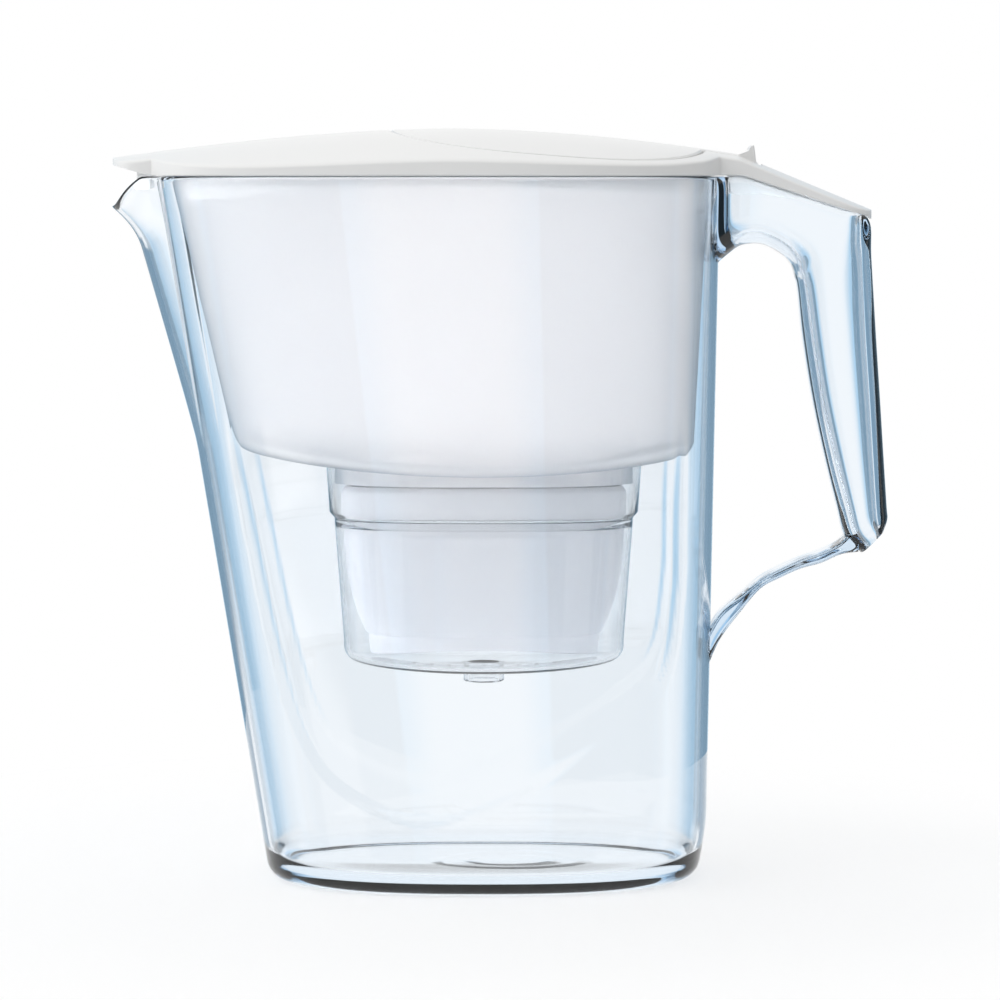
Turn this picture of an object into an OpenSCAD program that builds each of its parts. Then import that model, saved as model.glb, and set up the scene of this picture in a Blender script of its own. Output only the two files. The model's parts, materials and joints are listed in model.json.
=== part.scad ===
// Water filter pitcher with a flip lid: jug, funnel with filter housing, cartridge, lid and fill flap.
// The origin is the centre of the base on the table, +X points to the handle and +Z is up.

/* [Jug body] */
// Height of the rim above the table
rim_z = 241; // [225:1:255]
// Distance from the origin to the front wall at the rim
rim_front = 113.4; // [108:0.1:118]
// Distance from the origin to the rear wall at the rim
rim_rear = 81; // [78:0.1:85]
// Depth of the jug at the rim
rim_depth = 106; // [100:0.5:114]
// Distance from the origin to the front wall at the base
base_front = 74.4; // [70:0.1:80]
// Distance from the origin to the rear wall at the base
base_rear = 76.8; // [73:0.1:80]
// Depth of the jug at the base
base_depth = 102; // [96:0.5:106]
// How far the rear wall tucks in at the heel
heel_tuck = 3; // [0:0.5:4]
// Height at which the heel starts to tuck in
heel_z = 22; // [15:1:30]
// Radius round the edge of the base
base_r = 5; // [3:0.5:6]
// Wall thickness of the jug
jug_wall = 2.5; // [2:0.1:3]
// Floor thickness of the jug
jug_floor = 3; // [2.5:0.1:4]
// Squareness of the ovals, where 2 is an ellipse
oval_n = 2.5; // [2.2:0.1:2.8]

/* [Spout] */
// Height at which the spout starts to leave the front wall
spout_z = 150; // [140:1:165]
// Height of the lip at its tip
lip_z = 231; // [226:0.5:233]
// How far the spout stands out at the lip, before the flare
spout_out = 9.8; // [8:0.1:12]
// Height at which the lip starts to flare
flare_z = 216; // [210:0.5:220]
// How far the flare adds to the lip
flare_out = 6.6; // [4:0.1:8]
// Half width of the spout where it meets the wall
spout_half = 19.5; // [17:0.5:22]

/* [Handle] */
// Reach of the grip's outer face behind the jug's rim, at its foot
grip_reach = 58.1; // [56:0.1:60]
// Half width of the grip
grip_half = 13.5; // [12.5:0.1:14]
// Half width of the arm where it flares into the jug
arm_half = 16.5; // [15:0.1:18]
// Wall thickness of the hollow handle
grip_wall = 3; // [2.5:0.1:3.2]
// Wall round the mouth at the foot of the grip
mouth_wall = 1.6; // [1.3:0.1:2]
// Half width of the strut under the grip
strut_half = 9; // [7:0.1:10]
// Thickness of the strut
strut_t = 3.6; // [3:0.1:4.2]

/* [Funnel] */
// Room between the jug's outer front wall and the funnel at the rim
hopper_front_gap = 6.2; // [5:0.1:8]
// Room between the jug's outer rear wall and the funnel at the rim
hopper_rear_gap = 3.8; // [3.6:0.1:5]
// Room between the jug's outer side wall and the funnel at the rim
hopper_side_gap = 6; // [5.5:0.1:8]
// Distance from the origin to the funnel's front wall at its floor
hopper_floor_front = 85.6; // [80:0.1:88]
// Distance from the origin to the funnel's rear wall at its floor
hopper_floor_rear = 72.2; // [70:0.1:74]
// Depth of the funnel at its floor
hopper_floor_depth = 88; // [84:0.5:90]
// Lowest height of the funnel's floor, underneath
hopper_z = 140.4; // [139:0.1:143]
// How far the floor rises towards the front
hopper_rise = 8.2; // [5:0.1:10]
// Wall thickness of the funnel
hopper_wall = 2; // [1.6:0.1:2.4]
// Thickness of the flange that hangs on the jug's rim
flange_t = 1.3; // [1:0.1:1.4]
// Gap between the cartridge's rim and the spigot above it
spigot_gap = 0.6; // [0.4:0.1:1.4]

/* [Filter housing] */
// Room between the cartridge's neck and the cup's inner wall
cup_room = 1.6; // [1.2:0.1:1.8]
// How much the cup narrows from its top to its foot, each side
cup_taper = 3.2; // [2:0.1:4]
// How far the collar's foot stands out from the cup
collar_step = 1.7; // [1.5:0.1:2]
// How far the collar widens to its top
collar_flare = 1.1; // [0.5:0.1:1.5]
// How much slimmer the housing is across than along
pod_slim = 20.5; // [19:0.5:22]
// Height of the cup's underside
cup_z = 72; // [71:0.1:74]
// Height of the ledge that carries the cartridge
ledge_z = 124.5; // [123:0.1:125]
// Wall thickness of the housing
cup_wall = 1.6; // [1.3:0.1:1.7]
// Radius of the outlet nozzle
nozzle_r = 7; // [6:0.1:8]
// Bore radius of the outlet nozzle
nozzle_bore_r = 5.4; // [4:0.1:5.5]
// Length of the outlet nozzle below the cup
nozzle_len = 5; // [4:0.1:6]
// How far the cup's floor rises from its middle to its ends
cup_bow = 3; // [0:0.1:3.2]

/* [Cartridge] */
// Half length of the cartridge's rim
case_rim = 49.1; // [49:0.1:49.3]
// Half length of the cartridge under its rim
case_neck = 48.3; // [48:0.1:48.4]
// Half length of the cartridge above its foot
case_waist = 40.8; // [40:0.1:42]
// Half length of the cartridge's foot
case_foot = 39.2; // [38:0.1:39.5]
// Height of the foot's step
case_step_z = 84.3; // [83.8:0.1:86]
// Height of the cartridge's underside
case_z = 77; // [76:0.1:79]
// Height of the cartridge's rim
case_top = 136; // [135:0.1:136.2]
// How far the underside arches up in its middle
case_arch = 2.6; // [1:0.1:3]
// How late the case narrows below its neck
case_curve = 2.4; // [1.3:0.1:2.6]
// Wall thickness of the cartridge
case_wall = 1.2; // [1:0.1:1.4]
// Thickness of the seal under the rim
seal_t = 1.2; // [1:0.1:1.4]
// Width of the seal
seal_w = 1.2; // [1:0.1:1.3]
// Thickness of each felt pad
felt_t = 2; // [1.5:0.1:2.5]
// Height of the top of the resin bed
resin_top = 104; // [98:0.5:110]
// Thickness of the divider screen
screen_t = 0.8; // [0.6:0.1:1.2]
// Height of the top of the carbon bed
carbon_top = 129.5; // [124:0.5:131]
// Rise of the cap's dome above the cartridge's rim
cap_rise = 5; // [4:0.1:6]
// Width of the pull loop
loop_w = 18.4; // [16:0.1:20]
// Height of the pull loop above the cap
loop_h = 13; // [11:0.1:14]
// Thickness of the pull loop's band
loop_t = 2; // [1.6:0.1:2.4]
// Depth of the pull loop
loop_d = 5; // [4:0.1:7]
// Radius of each inlet dome
dome_r = 7.6; // [7:0.1:8]
// Height of each inlet dome above the cap
dome_h = 8.6; // [7:0.1:9.5]
// Distance of each inlet dome from the middle
dome_x = 17.8; // [17.6:0.1:20]
// Width of each water slot
slot_w = 1.4; // [1:0.1:1.8]

/* [Lid] */
// Height of the lid's ridge at its highest
ridge_z = 257.4; // [254:0.1:260]
// Distance of the highest point in front of the origin
ridge_x = 11.6; // [5:0.1:20]
// Fall of the ridge to the tip of the beak
ridge_front_fall = 10; // [9:0.1:11]
// Fall of the ridge to the rear of the oval
ridge_rear_fall = 7.8; // [7:0.1:8.5]
// Fall from the ridge to the edge at the widest place
crown = 11.2; // [9:0.1:12]
// How far the lid stands out over the jug's rim
lid_over = 0.8; // [0.6:0.1:1.4]
// Wall thickness of the lid
lid_wall = 2; // [1.8:0.1:2.1]
// Reach of the beak in front of the oval
beak_reach = 13.6; // [12:0.1:15]
// Half width of the beak
beak_half = 18; // [17:0.1:20]
// Rise of the beak's underside for each millimetre forwards
beak_slope = 0.27; // [0.2:0.01:0.28]
// How far the tail ends short of the grip's outer face
tail_short = 6.1; // [5:0.1:7]
// Half width of the tail
tail_half = 15; // [14.8:0.1:16]
// Fall of the tail's top for each millimetre backwards
tail_top_slope = 0.413; // [0.4:0.001:0.42]
// Fall of the tail's underside for each millimetre backwards
tail_slope = 0.33; // [0.325:0.001:0.335]
// Thickness of the inner skirt
skirt_t = 1.5; // [1.2:0.1:1.7]
// Depth of the inner skirt below the rim, at its middle
skirt_mid = 3.5; // [2.5:0.1:5]
// Extra depth of the inner skirt at its ends
skirt_arch = 4.6; // [2:0.1:6]
// Depth of the spout guard below the rim
guard_h = 4.5; // [3:0.1:5]

/* [Fill flap] */
// Half length of the flap
flap_len = 53.3; // [50:0.1:54]
// Half width of the flap
flap_half = 44; // [41:0.1:45]
// Squareness of the flap's outline
flap_n = 2.3; // [2.1:0.1:2.5]
// Gap round the flap
flap_gap = 0.5; // [0.3:0.1:0.8]
// Distance of the flap's rear end in front of the hinge
flap_back = 9.5; // [9:0.1:12]
// Distance of the hinge axis behind the jug's rim
hinge_x = 3.5; // [3.4:0.1:4.5]
// Height of the hinge axis above the rim
hinge_z = 3.8; // [3.6:0.1:4]
// Radius of the hinge trunnions
trunnion_r = 1.6; // [1.3:0.05:1.7]
// Radial clearance of the trunnions in their ears
hinge_play = 0.05; // [0.02:0.01:0.1]
// Radius of the flap's hinge barrel
barrel_r = 2.1; // [2:0.1:2.2]
// Half width of the neck that carries the thumb tab
neck_half = 8; // [6:0.1:8.5]
// Thickness of each hinge ear
ear_t = 2.6; // [2:0.1:3]
// Height of the thumb tab above the neck
tab_h = 2.9; // [2:0.1:4]
// Length of the thumb tab
tab_len = 6.3; // [5:0.1:6.6]
// Distance of the thumb tab behind the hinge axis
tab_back = 2.4; // [2:0.1:2.8]

/* [Clearances] */
// Gap between parts that rest on each other
seat_gap = 0.2; // [0.1:0.05:0.3]
// Gap between parts that slide into each other
slide_gap = 0.3; // [0.2:0.05:0.5]

/* [Hidden] */
clear_blue = [0.78, 0.88, 0.94, 0.35];
clear_grey = [0.82, 0.86, 0.89, 0.45];
milky = [0.92, 0.94, 0.96, 0.6];
white = [0.91, 0.91, 0.91];
lilac_grey = [0.85, 0.87, 0.9];

// Points round each kind of section
jug_points = 96;
pod_points = 64;
grip_points = 32;
round_fn = 64;
// A length that is longer than any wall it cuts through
cut = 20;
// A small overlap that joins the solids of one piece
weld = 0.6;

// Oval from an x in front to an x behind, with half depth half_y
function oval_point(front, rear, half_y, t, n = oval_n) =
    [(front + rear) / 2 + (rear - front) / 2 * sign(cos(t)) * pow(abs(cos(t)), 2 / n),
     half_y * sign(sin(t)) * pow(abs(sin(t)), 2 / n)];
function oval_plan(front, rear, half_y, count, n = oval_n) =
    [for (i = [0:count - 1]) oval_point(front, rear, half_y, 360 * i / count, n)];
function mean_point(ring) =
    [for (k = [0:2]) [for (p = ring) p[k]] * [for (p = ring) 1] / len(ring)];

// Faces between rings with the same number of points
function side_faces(rows, cols, wrap) = [
    for (r = [0:rows - (wrap ? 1 : 2)], c = [0:cols - 1])
        let (up = (r + 1) % rows, next = (c + 1) % cols,
             a = r * cols + c, b = r * cols + next, d = up * cols + c, e = up * cols + next)
            each [[a, d, e], [a, e, b]]
];

// Closed skin over rings that run from the underside to the top
module skin(rings) {
    rows = len(rings);
    cols = len(rings[0]);
    last = (rows - 1) * cols;
    polyhedron(
        points = concat([for (r = rings) each r], [mean_point(rings[0]), mean_point(rings[rows - 1])]),
        faces = concat(
            side_faces(rows, cols, false),
            [for (c = [0:cols - 1]) [rows * cols, c, (c + 1) % cols]],
            [for (c = [0:cols - 1]) [rows * cols + 1, last + (c + 1) % cols, last + c]]));
}

// Endless skin whose last ring meets its first, for a band
module band(rings) {
    polyhedron(points = [for (r = rings) each r], faces = side_faces(len(rings), len(rings[0]), true));
}

// Jug: wall positions by height
function mix(a, b, f) = a + (b - a) * f;
function jug_front(z) = -mix(base_front, rim_front, z / rim_z);
function jug_rear(z) =
    mix(base_rear, rim_rear, z / rim_z) - heel_tuck * pow(max(0, 1 - z / heel_z), 1.5);
function jug_half(z) = mix(base_depth, rim_depth, z / rim_z) / 2;
function spout_reach(z) =
    spout_out * max(0, (z - spout_z) / (lip_z - spout_z))
    + flare_out * pow(max(0, (z - flare_z) / (lip_z - flare_z)), 2.2);
// Share of the spout's reach at a distance y from the middle
function spout_share(y, half) = max(0, 1 - pow(min(1, abs(y) / half), 1.4));
// The rim dips to the lip across the spout's mouth
lip_side = 0.86;
blend_z = 200;
function rim_dip(y, half) = (rim_z - lip_z) * max(0, 1 - pow(abs(y) / half / lip_side, 2));
function jug_point(h, inset, t) =
    let (half = spout_half - inset / 2,
         flat = oval_point(jug_front(h) + inset, jug_rear(h) - inset, jug_half(h) - inset, t),
         front = flat[0] < 0,
         z = front && h > blend_z
             ? h - rim_dip(flat[1], half) * (h - blend_z) / (rim_z - blend_z) : h,
         p = oval_point(jug_front(z) + inset, jug_rear(z) - inset, jug_half(z) - inset, t))
        [p[0] - (front ? spout_reach(z) * spout_share(p[1], half) : 0), p[1], z];
function jug_ring(h, inset) = [for (i = [0:jug_points - 1]) jug_point(h, inset, 360 * i / jug_points)];
jug_heights = [12, heel_z, 60, 105, spout_z, 175, blend_z, 210, flare_z, 222, 228, 234, 238];

module jug_body() {
    inner_r = max(1, base_r - 1);
    color(clear_blue)
        skin(concat(
            [for (a = [0:30:90]) jug_ring(base_r * (1 - cos(a)), base_r * (1 - sin(a)))],
            [for (z = jug_heights) jug_ring(z, 0)],
            [jug_ring(rim_z, 0), jug_ring(rim_z, jug_wall)],
            [for (i = [len(jug_heights) - 1:-1:0]) jug_ring(jug_heights[i], jug_wall)],
            [for (a = [90:-30:0])
                jug_ring(jug_floor + inner_r * (1 - cos(a)), jug_wall + inner_r * (1 - sin(a)))]));
}

// Lid: outline and heights along x
lid_front = -rim_front - lid_over;
lid_rear = rim_rear + lid_over;
lid_half = rim_depth / 2 + lid_over;
beak_x = lid_front - beak_reach + lid_over;
tail_x = rim_rear + grip_reach - tail_short;
tip_len = 15;
lid_bottom = rim_z + seat_gap + 0.1;
tail_start = rim_rear + 7;
function round_end(half, f) = half * pow(max(0, 1 - pow(min(1, max(0, f)), oval_n)), 1 / oval_n);
function outline_half(x) =
    max(round_end(lid_half, abs(x - (lid_front + lid_rear) / 2) / ((lid_rear - lid_front) / 2)),
        x < 0 ? round_end(beak_half, (beak_x + tip_len - x) / tip_len)
              : x > rim_rear - 6 ? round_end(tail_half, (x - tail_x + tip_len) / tip_len) : 0);
function oval_ridge(x) =
    x < -ridge_x
        ? ridge_z - ridge_front_fall * pow((-ridge_x - x) / (-ridge_x - beak_x), 1.7)
        : ridge_z - ridge_rear_fall * pow((x + ridge_x) / (rim_rear + ridge_x), 1.8);
tail_crest_z = oval_ridge(rim_rear + 6);
function ridge(x) = min(oval_ridge(x), tail_crest_z - tail_top_slope * (x - rim_rear - 6));
function under(x) =
    lid_bottom + beak_slope * max(0, lid_front + lid_over - x) - tail_slope * max(0, x - tail_start);
function lid_top(x, y) =
    let (half = max(1, outline_half(x)))
        ridge(x) - crown * pow(half / lid_half, 1.3) * pow(min(1, abs(y) / half), 1.8);

// Section across the lid at x, drawn in by inset and run on below by drop
across = [for (a = [0:15:180]) cos(a)];
function lid_section(x, inset, drop) =
    let (half = outline_half(x) - inset)
        concat([[x, half, under(x) - drop]],
               [for (v = across) [x, half * v, lid_top(x, half * v) - inset]],
               [[x, -half, under(x) - drop]]);
function lid_stations(front, rear) = concat(
    [for (a = [14:12.5:90]) front + tip_len * (1 - sin(90 - a))],
    [for (a = [20:8:148]) (lid_front + lid_rear) / 2 - (lid_rear - lid_front) / 2 * cos(a)],
    [rim_rear - 6, rim_rear - 2, rim_rear + 1, rim_rear + 6, rim_rear + 9, rim_rear + 18,
     rim_rear + 28],
    [for (a = [90:-12.5:14]) rear - tip_len * (1 - sin(90 - a))]);

module lid_solid(inset, drop) {
    skin([for (x = lid_stations(beak_x + inset, tail_x - inset)) lid_section(x, inset, drop)]);
}

// Plan of the fill flap and its neck, grown by grow
axis_x = rim_rear + hinge_x;
axis_z = rim_z + hinge_z;
flap_rear = axis_x - flap_back;
tab_x = axis_x + tab_back;
tab_end = tab_x + tab_len;
tab_tip = [tab_end - 1.3, ridge(tab_x) + tab_h];
neck_rear = tab_end + 0.8;
// The thumb tab swings down through a slot in the lid
swing_r = max(norm([tab_tip[0] - axis_x, tab_tip[1] - axis_z]), neck_rear - axis_x);
module flap_plan(grow) {
    root = 8;
    slot_rear = axis_x + swing_r + slide_gap;
    polygon(oval_plan(flap_rear - 2 * flap_len - grow, flap_rear + 2 * grow, flap_half + grow,
                      pod_points, flap_n));
    translate([flap_rear - root, -neck_half - grow])
        square([(grow > 0 ? slot_rear : neck_rear) - flap_rear + root, 2 * (neck_half + grow)]);
}

// Funnel: wall positions by height, and its arched floor
hopper_front = rim_front - hopper_front_gap;
hopper_rear = rim_rear - hopper_rear_gap;
hopper_depth = rim_depth - 2 * hopper_side_gap;
flange_z = rim_z + seat_gap;
flange_inset = lid_wall + slide_gap + 0.2 - lid_over;
function floor_z(x) = hopper_z + hopper_rise * pow(x / hopper_floor_front, 2);
function hopper_ring(f, inset, lift = 0) =
    let (front = -mix(hopper_floor_front, hopper_front, f) + inset,
         rear = mix(hopper_floor_rear, hopper_rear, f) - inset,
         half = mix(hopper_floor_depth, hopper_depth, f) / 2 - inset)
        [for (p = oval_plan(front, rear, half, pod_points))
            [p[0], p[1], mix(floor_z(p[0]) + lift, flange_z, f)]];
function level_ring(front, rear, half, z) =
    [for (p = oval_plan(front, rear, half, pod_points)) [p[0], p[1], z]];
function flange_ring(z) =
    level_ring(-rim_front + flange_inset, rim_rear - flange_inset, rim_depth / 2 - flange_inset, z);
seal_in = case_neck + 0.05;
seal_out = seal_in + seal_w;
// The cartridge passes up through the throat with its rim and its seal
throat_half = max(case_rim + 0.9, seal_out + slide_gap + 0.1);
spigot_z = case_top + spigot_gap;

function on_floor(ring, lift = 0) = [for (p = ring) [p[0], p[1], floor_z(p[0]) + lift]];
function between(a, b, f) = [for (i = [0:len(a) - 1]) mix(a[i], b[i], f)];

// One closed band: the spigot, the underside, the outer wall, the flange and back down inside
module funnel() {
    corner = 4;
    top = flange_z + flange_t;
    mouth = hopper_wall;
    spigot_out = collar_foot - cup_wall - slide_gap;
    outer = pod_ring(spigot_out, spigot_z);
    inner = pod_ring(throat_half, spigot_z);
    under = hopper_ring(0, corner);
    over = hopper_ring(0, mouth + corner, mouth);
    color(milky)
        band(concat(
            [inner, outer],
            [for (f = [0, 0.35, 0.7]) on_floor(between(outer, under, f))],
            [under, hopper_ring(0.012, 1.2), hopper_ring(0.04, 0), hopper_ring(0.5, 0), hopper_ring(1, 0)],
            [flange_ring(flange_z), flange_ring(top)],
            [level_ring(-hopper_front + mouth, hopper_rear - mouth, hopper_depth / 2 - mouth, top)],
            [hopper_ring(0.5, mouth, mouth), hopper_ring(0.04, mouth, mouth)],
            [hopper_ring(0.012, mouth + 1.2, mouth), over],
            [for (f = [0.3, 0.65, 1]) on_floor(between(over, inner, f), mouth)]));
}

// Filter housing: an oval pod on the origin's axis
function pod_ring(half, z) = level_ring(-half, half, half - pod_slim, z);
cup_top = case_neck + cup_room + cup_wall;
cup_foot = cup_top - cup_taper;
collar_foot = cup_top + collar_step;
collar_top = collar_foot + collar_flare;
function bowed(ring) = [for (p = ring) [p[0], p[1], p[2] + cup_bow * pow(p[0] / cup_foot, 2)]];
function drawn_in(ring, f) = [for (p = ring) [p[0] * f, p[1] * f, p[2]]];
collar_foot_z = ledge_z + 1.5;

module filter_housing() {
    inner_top = [for (p = oval_plan(-collar_top + cup_wall, collar_top - cup_wall,
                                    collar_top - cup_wall - pod_slim, pod_points))
        [p[0], p[1], floor_z(p[0]) - slide_gap]];
    outer_top = [for (p = oval_plan(-collar_top, collar_top, collar_top - pod_slim, pod_points))
        [p[0], p[1], floor_z(p[0]) - slide_gap]];
    ledge_in = case_neck + slide_gap;
    color(clear_grey)
        difference() {
            union() {
                skin([
                    for (f = [0.1, 0.4, 0.7, 1]) bowed(drawn_in(pod_ring(cup_foot - 3, cup_z), f)),
                    bowed(pod_ring(cup_foot - 0.8, cup_z + 0.8)),
                    bowed(pod_ring(cup_foot, cup_z + 3)), pod_ring(cup_top, ledge_z - 0.5),
                    pod_ring(collar_foot, collar_foot_z), outer_top, inner_top,
                    pod_ring(collar_foot - cup_wall, ledge_z), pod_ring(ledge_in, ledge_z),
                    pod_ring(ledge_in, ledge_z - 1.6), pod_ring(cup_top - cup_wall, ledge_z - 3.2),
                    bowed(pod_ring(cup_foot - cup_wall, cup_z + 4)),
                    for (f = [1, 0.7, 0.4, 0.1]) bowed(drawn_in(pod_ring(cup_foot - 3, cup_z + cup_wall), f))
                ]);
                translate([0, 0, cup_z - nozzle_len])
                    cylinder(h = nozzle_len + cup_wall / 2, r = nozzle_r, $fn = round_fn);
            }
            translate([0, 0, cup_z - nozzle_len - 1])
                cylinder(h = nozzle_len + cup_wall + 2, r = nozzle_bore_r, $fn = round_fn);
        }
}

// Cartridge: half length by height, and half depth by half length
waist_z = case_step_z + 0.6;
neck_z = 122;
function case_half(z) =
    z >= neck_z ? case_neck
    : z >= waist_z ? mix(case_neck, case_waist, pow((neck_z - z) / (neck_z - waist_z), case_curve))
    : mix(case_foot, case_foot + 0.6, (z - case_z) / (case_step_z - case_z));
neck_depth = case_neck - pod_slim;
function case_depth(half) = half >= case_neck ? half - pod_slim : neck_depth - 0.6 * (case_neck - half);
function case_ring(half, z, inset = 0, arch = 0) =
    [for (p = oval_plan(-half + inset, half - inset, case_depth(half) - inset, pod_points))
        [p[0], p[1], z + arch * (1 - pow(p[0] / half, 2))]];
rim_foot_z = ledge_z + seat_gap + seal_t + 0.1;
case_levels = [case_step_z, waist_z, 90, 96, 102, 109, neck_z];

module water_slots(count, pitch, length, z) {
    for (i = [0:count - 1])
        translate([(i - (count - 1) / 2) * pitch - slot_w / 2, -length / 2, z - cut / 4])
            cube([slot_w, length, cut / 2]);
}

module cartridge_case() {
    color(lilac_grey)
        difference() {
            skin(concat(
                [case_ring(case_foot, case_z, 0, case_arch)],
                [for (z = case_levels) case_ring(case_half(z), z)],
                [case_ring(case_neck, rim_foot_z), case_ring(case_rim, rim_foot_z)],
                [case_ring(case_rim, case_top - 2), case_ring(case_rim - 1.4, case_top)],
                [case_ring(case_rim - 1.4 - case_wall, case_top)],
                [for (z = [carbon_top + felt_t + 1, neck_z]) case_ring(case_neck, z, case_wall)],
                [for (i = [len(case_levels) - 2:-1:1])
                    case_ring(case_half(case_levels[i]), case_levels[i], case_wall)],
                [case_ring(case_foot, case_z + case_wall, case_wall, case_arch)]));
            water_slots(9, 6, 26, case_z + case_arch);
        }
}

// A layer of filter medium that fills the case between two heights
media_inset = case_wall + 0.2;
module layer(low, high) {
    inner = [for (z = case_levels) if (z > low + 1 && z < high - 1) z];
    skin([for (z = concat([low], inner, [high])) case_ring(case_half(z), z, media_inset)]);
}
layer_gap = 0.1;
felt_z = case_z + case_wall + case_arch + layer_gap;
resin_z = felt_z + felt_t + layer_gap;

module outlet_felt() { color(white) layer(felt_z, felt_z + felt_t); }
module resin_bed() { color([0.86, 0.68, 0.36]) layer(resin_z, resin_top); }
module divider_screen() { color(white) layer(resin_top + layer_gap, resin_top + layer_gap + screen_t); }
module carbon_bed() { color([0.08, 0.08, 0.09]) layer(resin_top + 2 * layer_gap + screen_t, carbon_top); }
module inlet_felt() { color(white) layer(carbon_top + layer_gap, carbon_top + layer_gap + felt_t); }

module cartridge_seal() {
    low = ledge_z + seat_gap;
    high = low + seal_t;
    color([0.93, 0.94, 0.95])
        band([pod_ring(seal_out, low), pod_ring(seal_out, high), pod_ring(seal_in, high),
              pod_ring(seal_in, low)]);
}

// Cap with a pull loop and two slotted inlet domes
module inlet_dome() {
    thick = 1.2;
    rotate_extrude($fn = round_fn)
        polygon(concat(
            [for (a = [0:15:90]) [dome_r * cos(a), (dome_h + weld) * sin(a)]],
            [for (a = [90:-15:0]) [(dome_r - thick) * cos(a), (dome_h + weld - thick) * sin(a)]]));
}

module pull_loop() {
    half = loop_w / 2;
    rotate([90, 0, 0])
        translate([0, 0, -loop_d / 2])
            linear_extrude(loop_d)
                difference() {
                    union() {
                        translate([0, loop_h - half])
                            circle(r = half, $fn = round_fn);
                        translate([-half, -weld])
                            square([loop_w, loop_h - half + weld]);
                    }
                    translate([0, loop_h - half])
                        circle(r = half - loop_t, $fn = round_fn);
                    translate([-half + loop_t, 3])
                        square([loop_w - 2 * loop_t, max(0.5, loop_h - half - 3)]);
                }
}

module cartridge_cap() {
    low = case_top + seat_gap;
    top = case_top + cap_rise;
    rim = case_rim - 1.8;
    color(white)
        difference() {
            union() {
                skin([case_ring(rim - 13, top - 1.6), case_ring(rim - 7, top - 2.4),
                      case_ring(rim - 2.4, low), case_ring(rim, low), case_ring(rim - 0.3, low + 1.6),
                      case_ring(rim - 5.3, top - 0.8), case_ring(rim - 11.3, top)]);
                translate([0, 0, top])
                    pull_loop();
                for (side = [-1, 1])
                    translate([side * dome_x, 0, top - weld])
                        inlet_dome();
            }
            for (side = [-1, 1])
                translate([side * dome_x, 0, 0])
                    water_slots(3, 3.6, 9, top + dome_h);
        }
}

// Lid: shell, inner skirt, spout guard, tail cheeks and hinge ears
ear_half = neck_half + flap_gap;
skirt_out = hopper_wall + 1;
web_z = flange_z + flange_t + seat_gap;
// The skirt narrows downwards with the funnel's wall
skirt_share = 1 - (skirt_mid + skirt_arch + 2) / (flange_z - hopper_z);
function skirt_ring(inset, low) =
    let (f = low ? skirt_share : 1)
        [for (p = oval_plan(-mix(hopper_floor_front, hopper_front, f) + inset,
                            mix(hopper_floor_rear, hopper_rear, f) - inset,
                            mix(hopper_floor_depth, hopper_depth, f) / 2 - inset, pod_points))
            [p[0], p[1], low ? rim_z - skirt_mid - skirt_arch * pow((p[0] + 10) / 90, 2) : web_z]];

module inner_skirt() {
    web_in = lid_over - 1;
    web = [for (z = [web_z, web_z + 1.5])
        level_ring(-rim_front - web_in, rim_rear + web_in, rim_depth / 2 + web_in, z)];
    thick = skirt_out + skirt_t;
    top_in = level_ring(-hopper_front + thick, hopper_rear - thick, hopper_depth / 2 - thick, web_z + 1.5);
    band([skirt_ring(skirt_out, true), skirt_ring(skirt_out, false), web[0], web[1], top_in,
          skirt_ring(thick, true)]);
}

module lid() {
    cheek_front = rim_rear + 3;
    cheek_rear = rim_rear + 30;
    cheek_half = grip_half - grip_wall - slide_gap;
    color(white)
        difference() {
            union() {
                difference() {
                    lid_solid(0, 0);
                    lid_solid(lid_wall, 6);
                    translate([0, 0, rim_z - cut])
                        linear_extrude(3 * cut)
                            flap_plan(flap_gap);
                }
                inner_skirt();
                // Spout guard under the beak
                translate([-rim_front - 4.8, -10, rim_z - guard_h])
                    cube([5.2, 20, guard_h + 4.5]);
                // Cheeks that locate the tail in the hollow handle
                for (side = [-1, 1])
                    translate([0, side * (cheek_half - 0.7) + 0.7, 0])
                        rotate([90, 0, 0])
                            linear_extrude(1.4)
                                polygon([[cheek_front, lid_bottom + 3], [cheek_front, rim_z - 6],
                                         [cheek_front + 11, rim_z - 6], [cheek_rear, under(cheek_rear) - 1.6],
                                         [cheek_rear, under(cheek_rear) + 3]]);
                // Ears that carry the flap's trunnions
                for (side = [-1, 1])
                    translate([axis_x - 3.6, side * (ear_half + ear_t / 2) - ear_t / 2, axis_z - 2.8])
                        cube([7.2, ear_t, 4.2]);
            }
            translate([axis_x, 0, axis_z])
                rotate([90, 0, 0])
                    cylinder(h = 2 * (ear_half + ear_t) + 0.4, r = trunnion_r + hinge_play, center = true,
                             $fn = round_fn);
        }
}

module fill_flap() {
    foot_z = ridge(tab_end) - 1;
    color(white) {
        difference() {
            intersection() {
                lid_solid(0, 0);
                translate([0, 0, rim_z - cut])
                    linear_extrude(3 * cut)
                        flap_plan(0);
            }
            lid_solid(lid_wall, 6);
        }
        translate([axis_x, 0, axis_z])
            rotate([90, 0, 0]) {
                cylinder(h = 2 * neck_half, r = barrel_r, center = true, $fn = round_fn);
                cylinder(h = 2 * (ear_half + ear_t), r = trunnion_r, center = true, $fn = round_fn);
            }
        // Thumb tab with a hollow front face
        translate([0, neck_half - 1, 0])
            rotate([90, 0, 0])
                linear_extrude(2 * neck_half - 2)
                    polygon([[tab_x, ridge(tab_x) - 1.2], [tab_x, ridge(tab_x)],
                             [mix(tab_x, tab_tip[0], 0.45), ridge(tab_x) + 0.15 * tab_h],
                             [mix(tab_x, tab_tip[0], 0.75), ridge(tab_x) + 0.45 * tab_h],
                             [tab_tip[0] - 0.4, tab_tip[1]], tab_tip, [tab_end, foot_z]]);
    }
}

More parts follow.
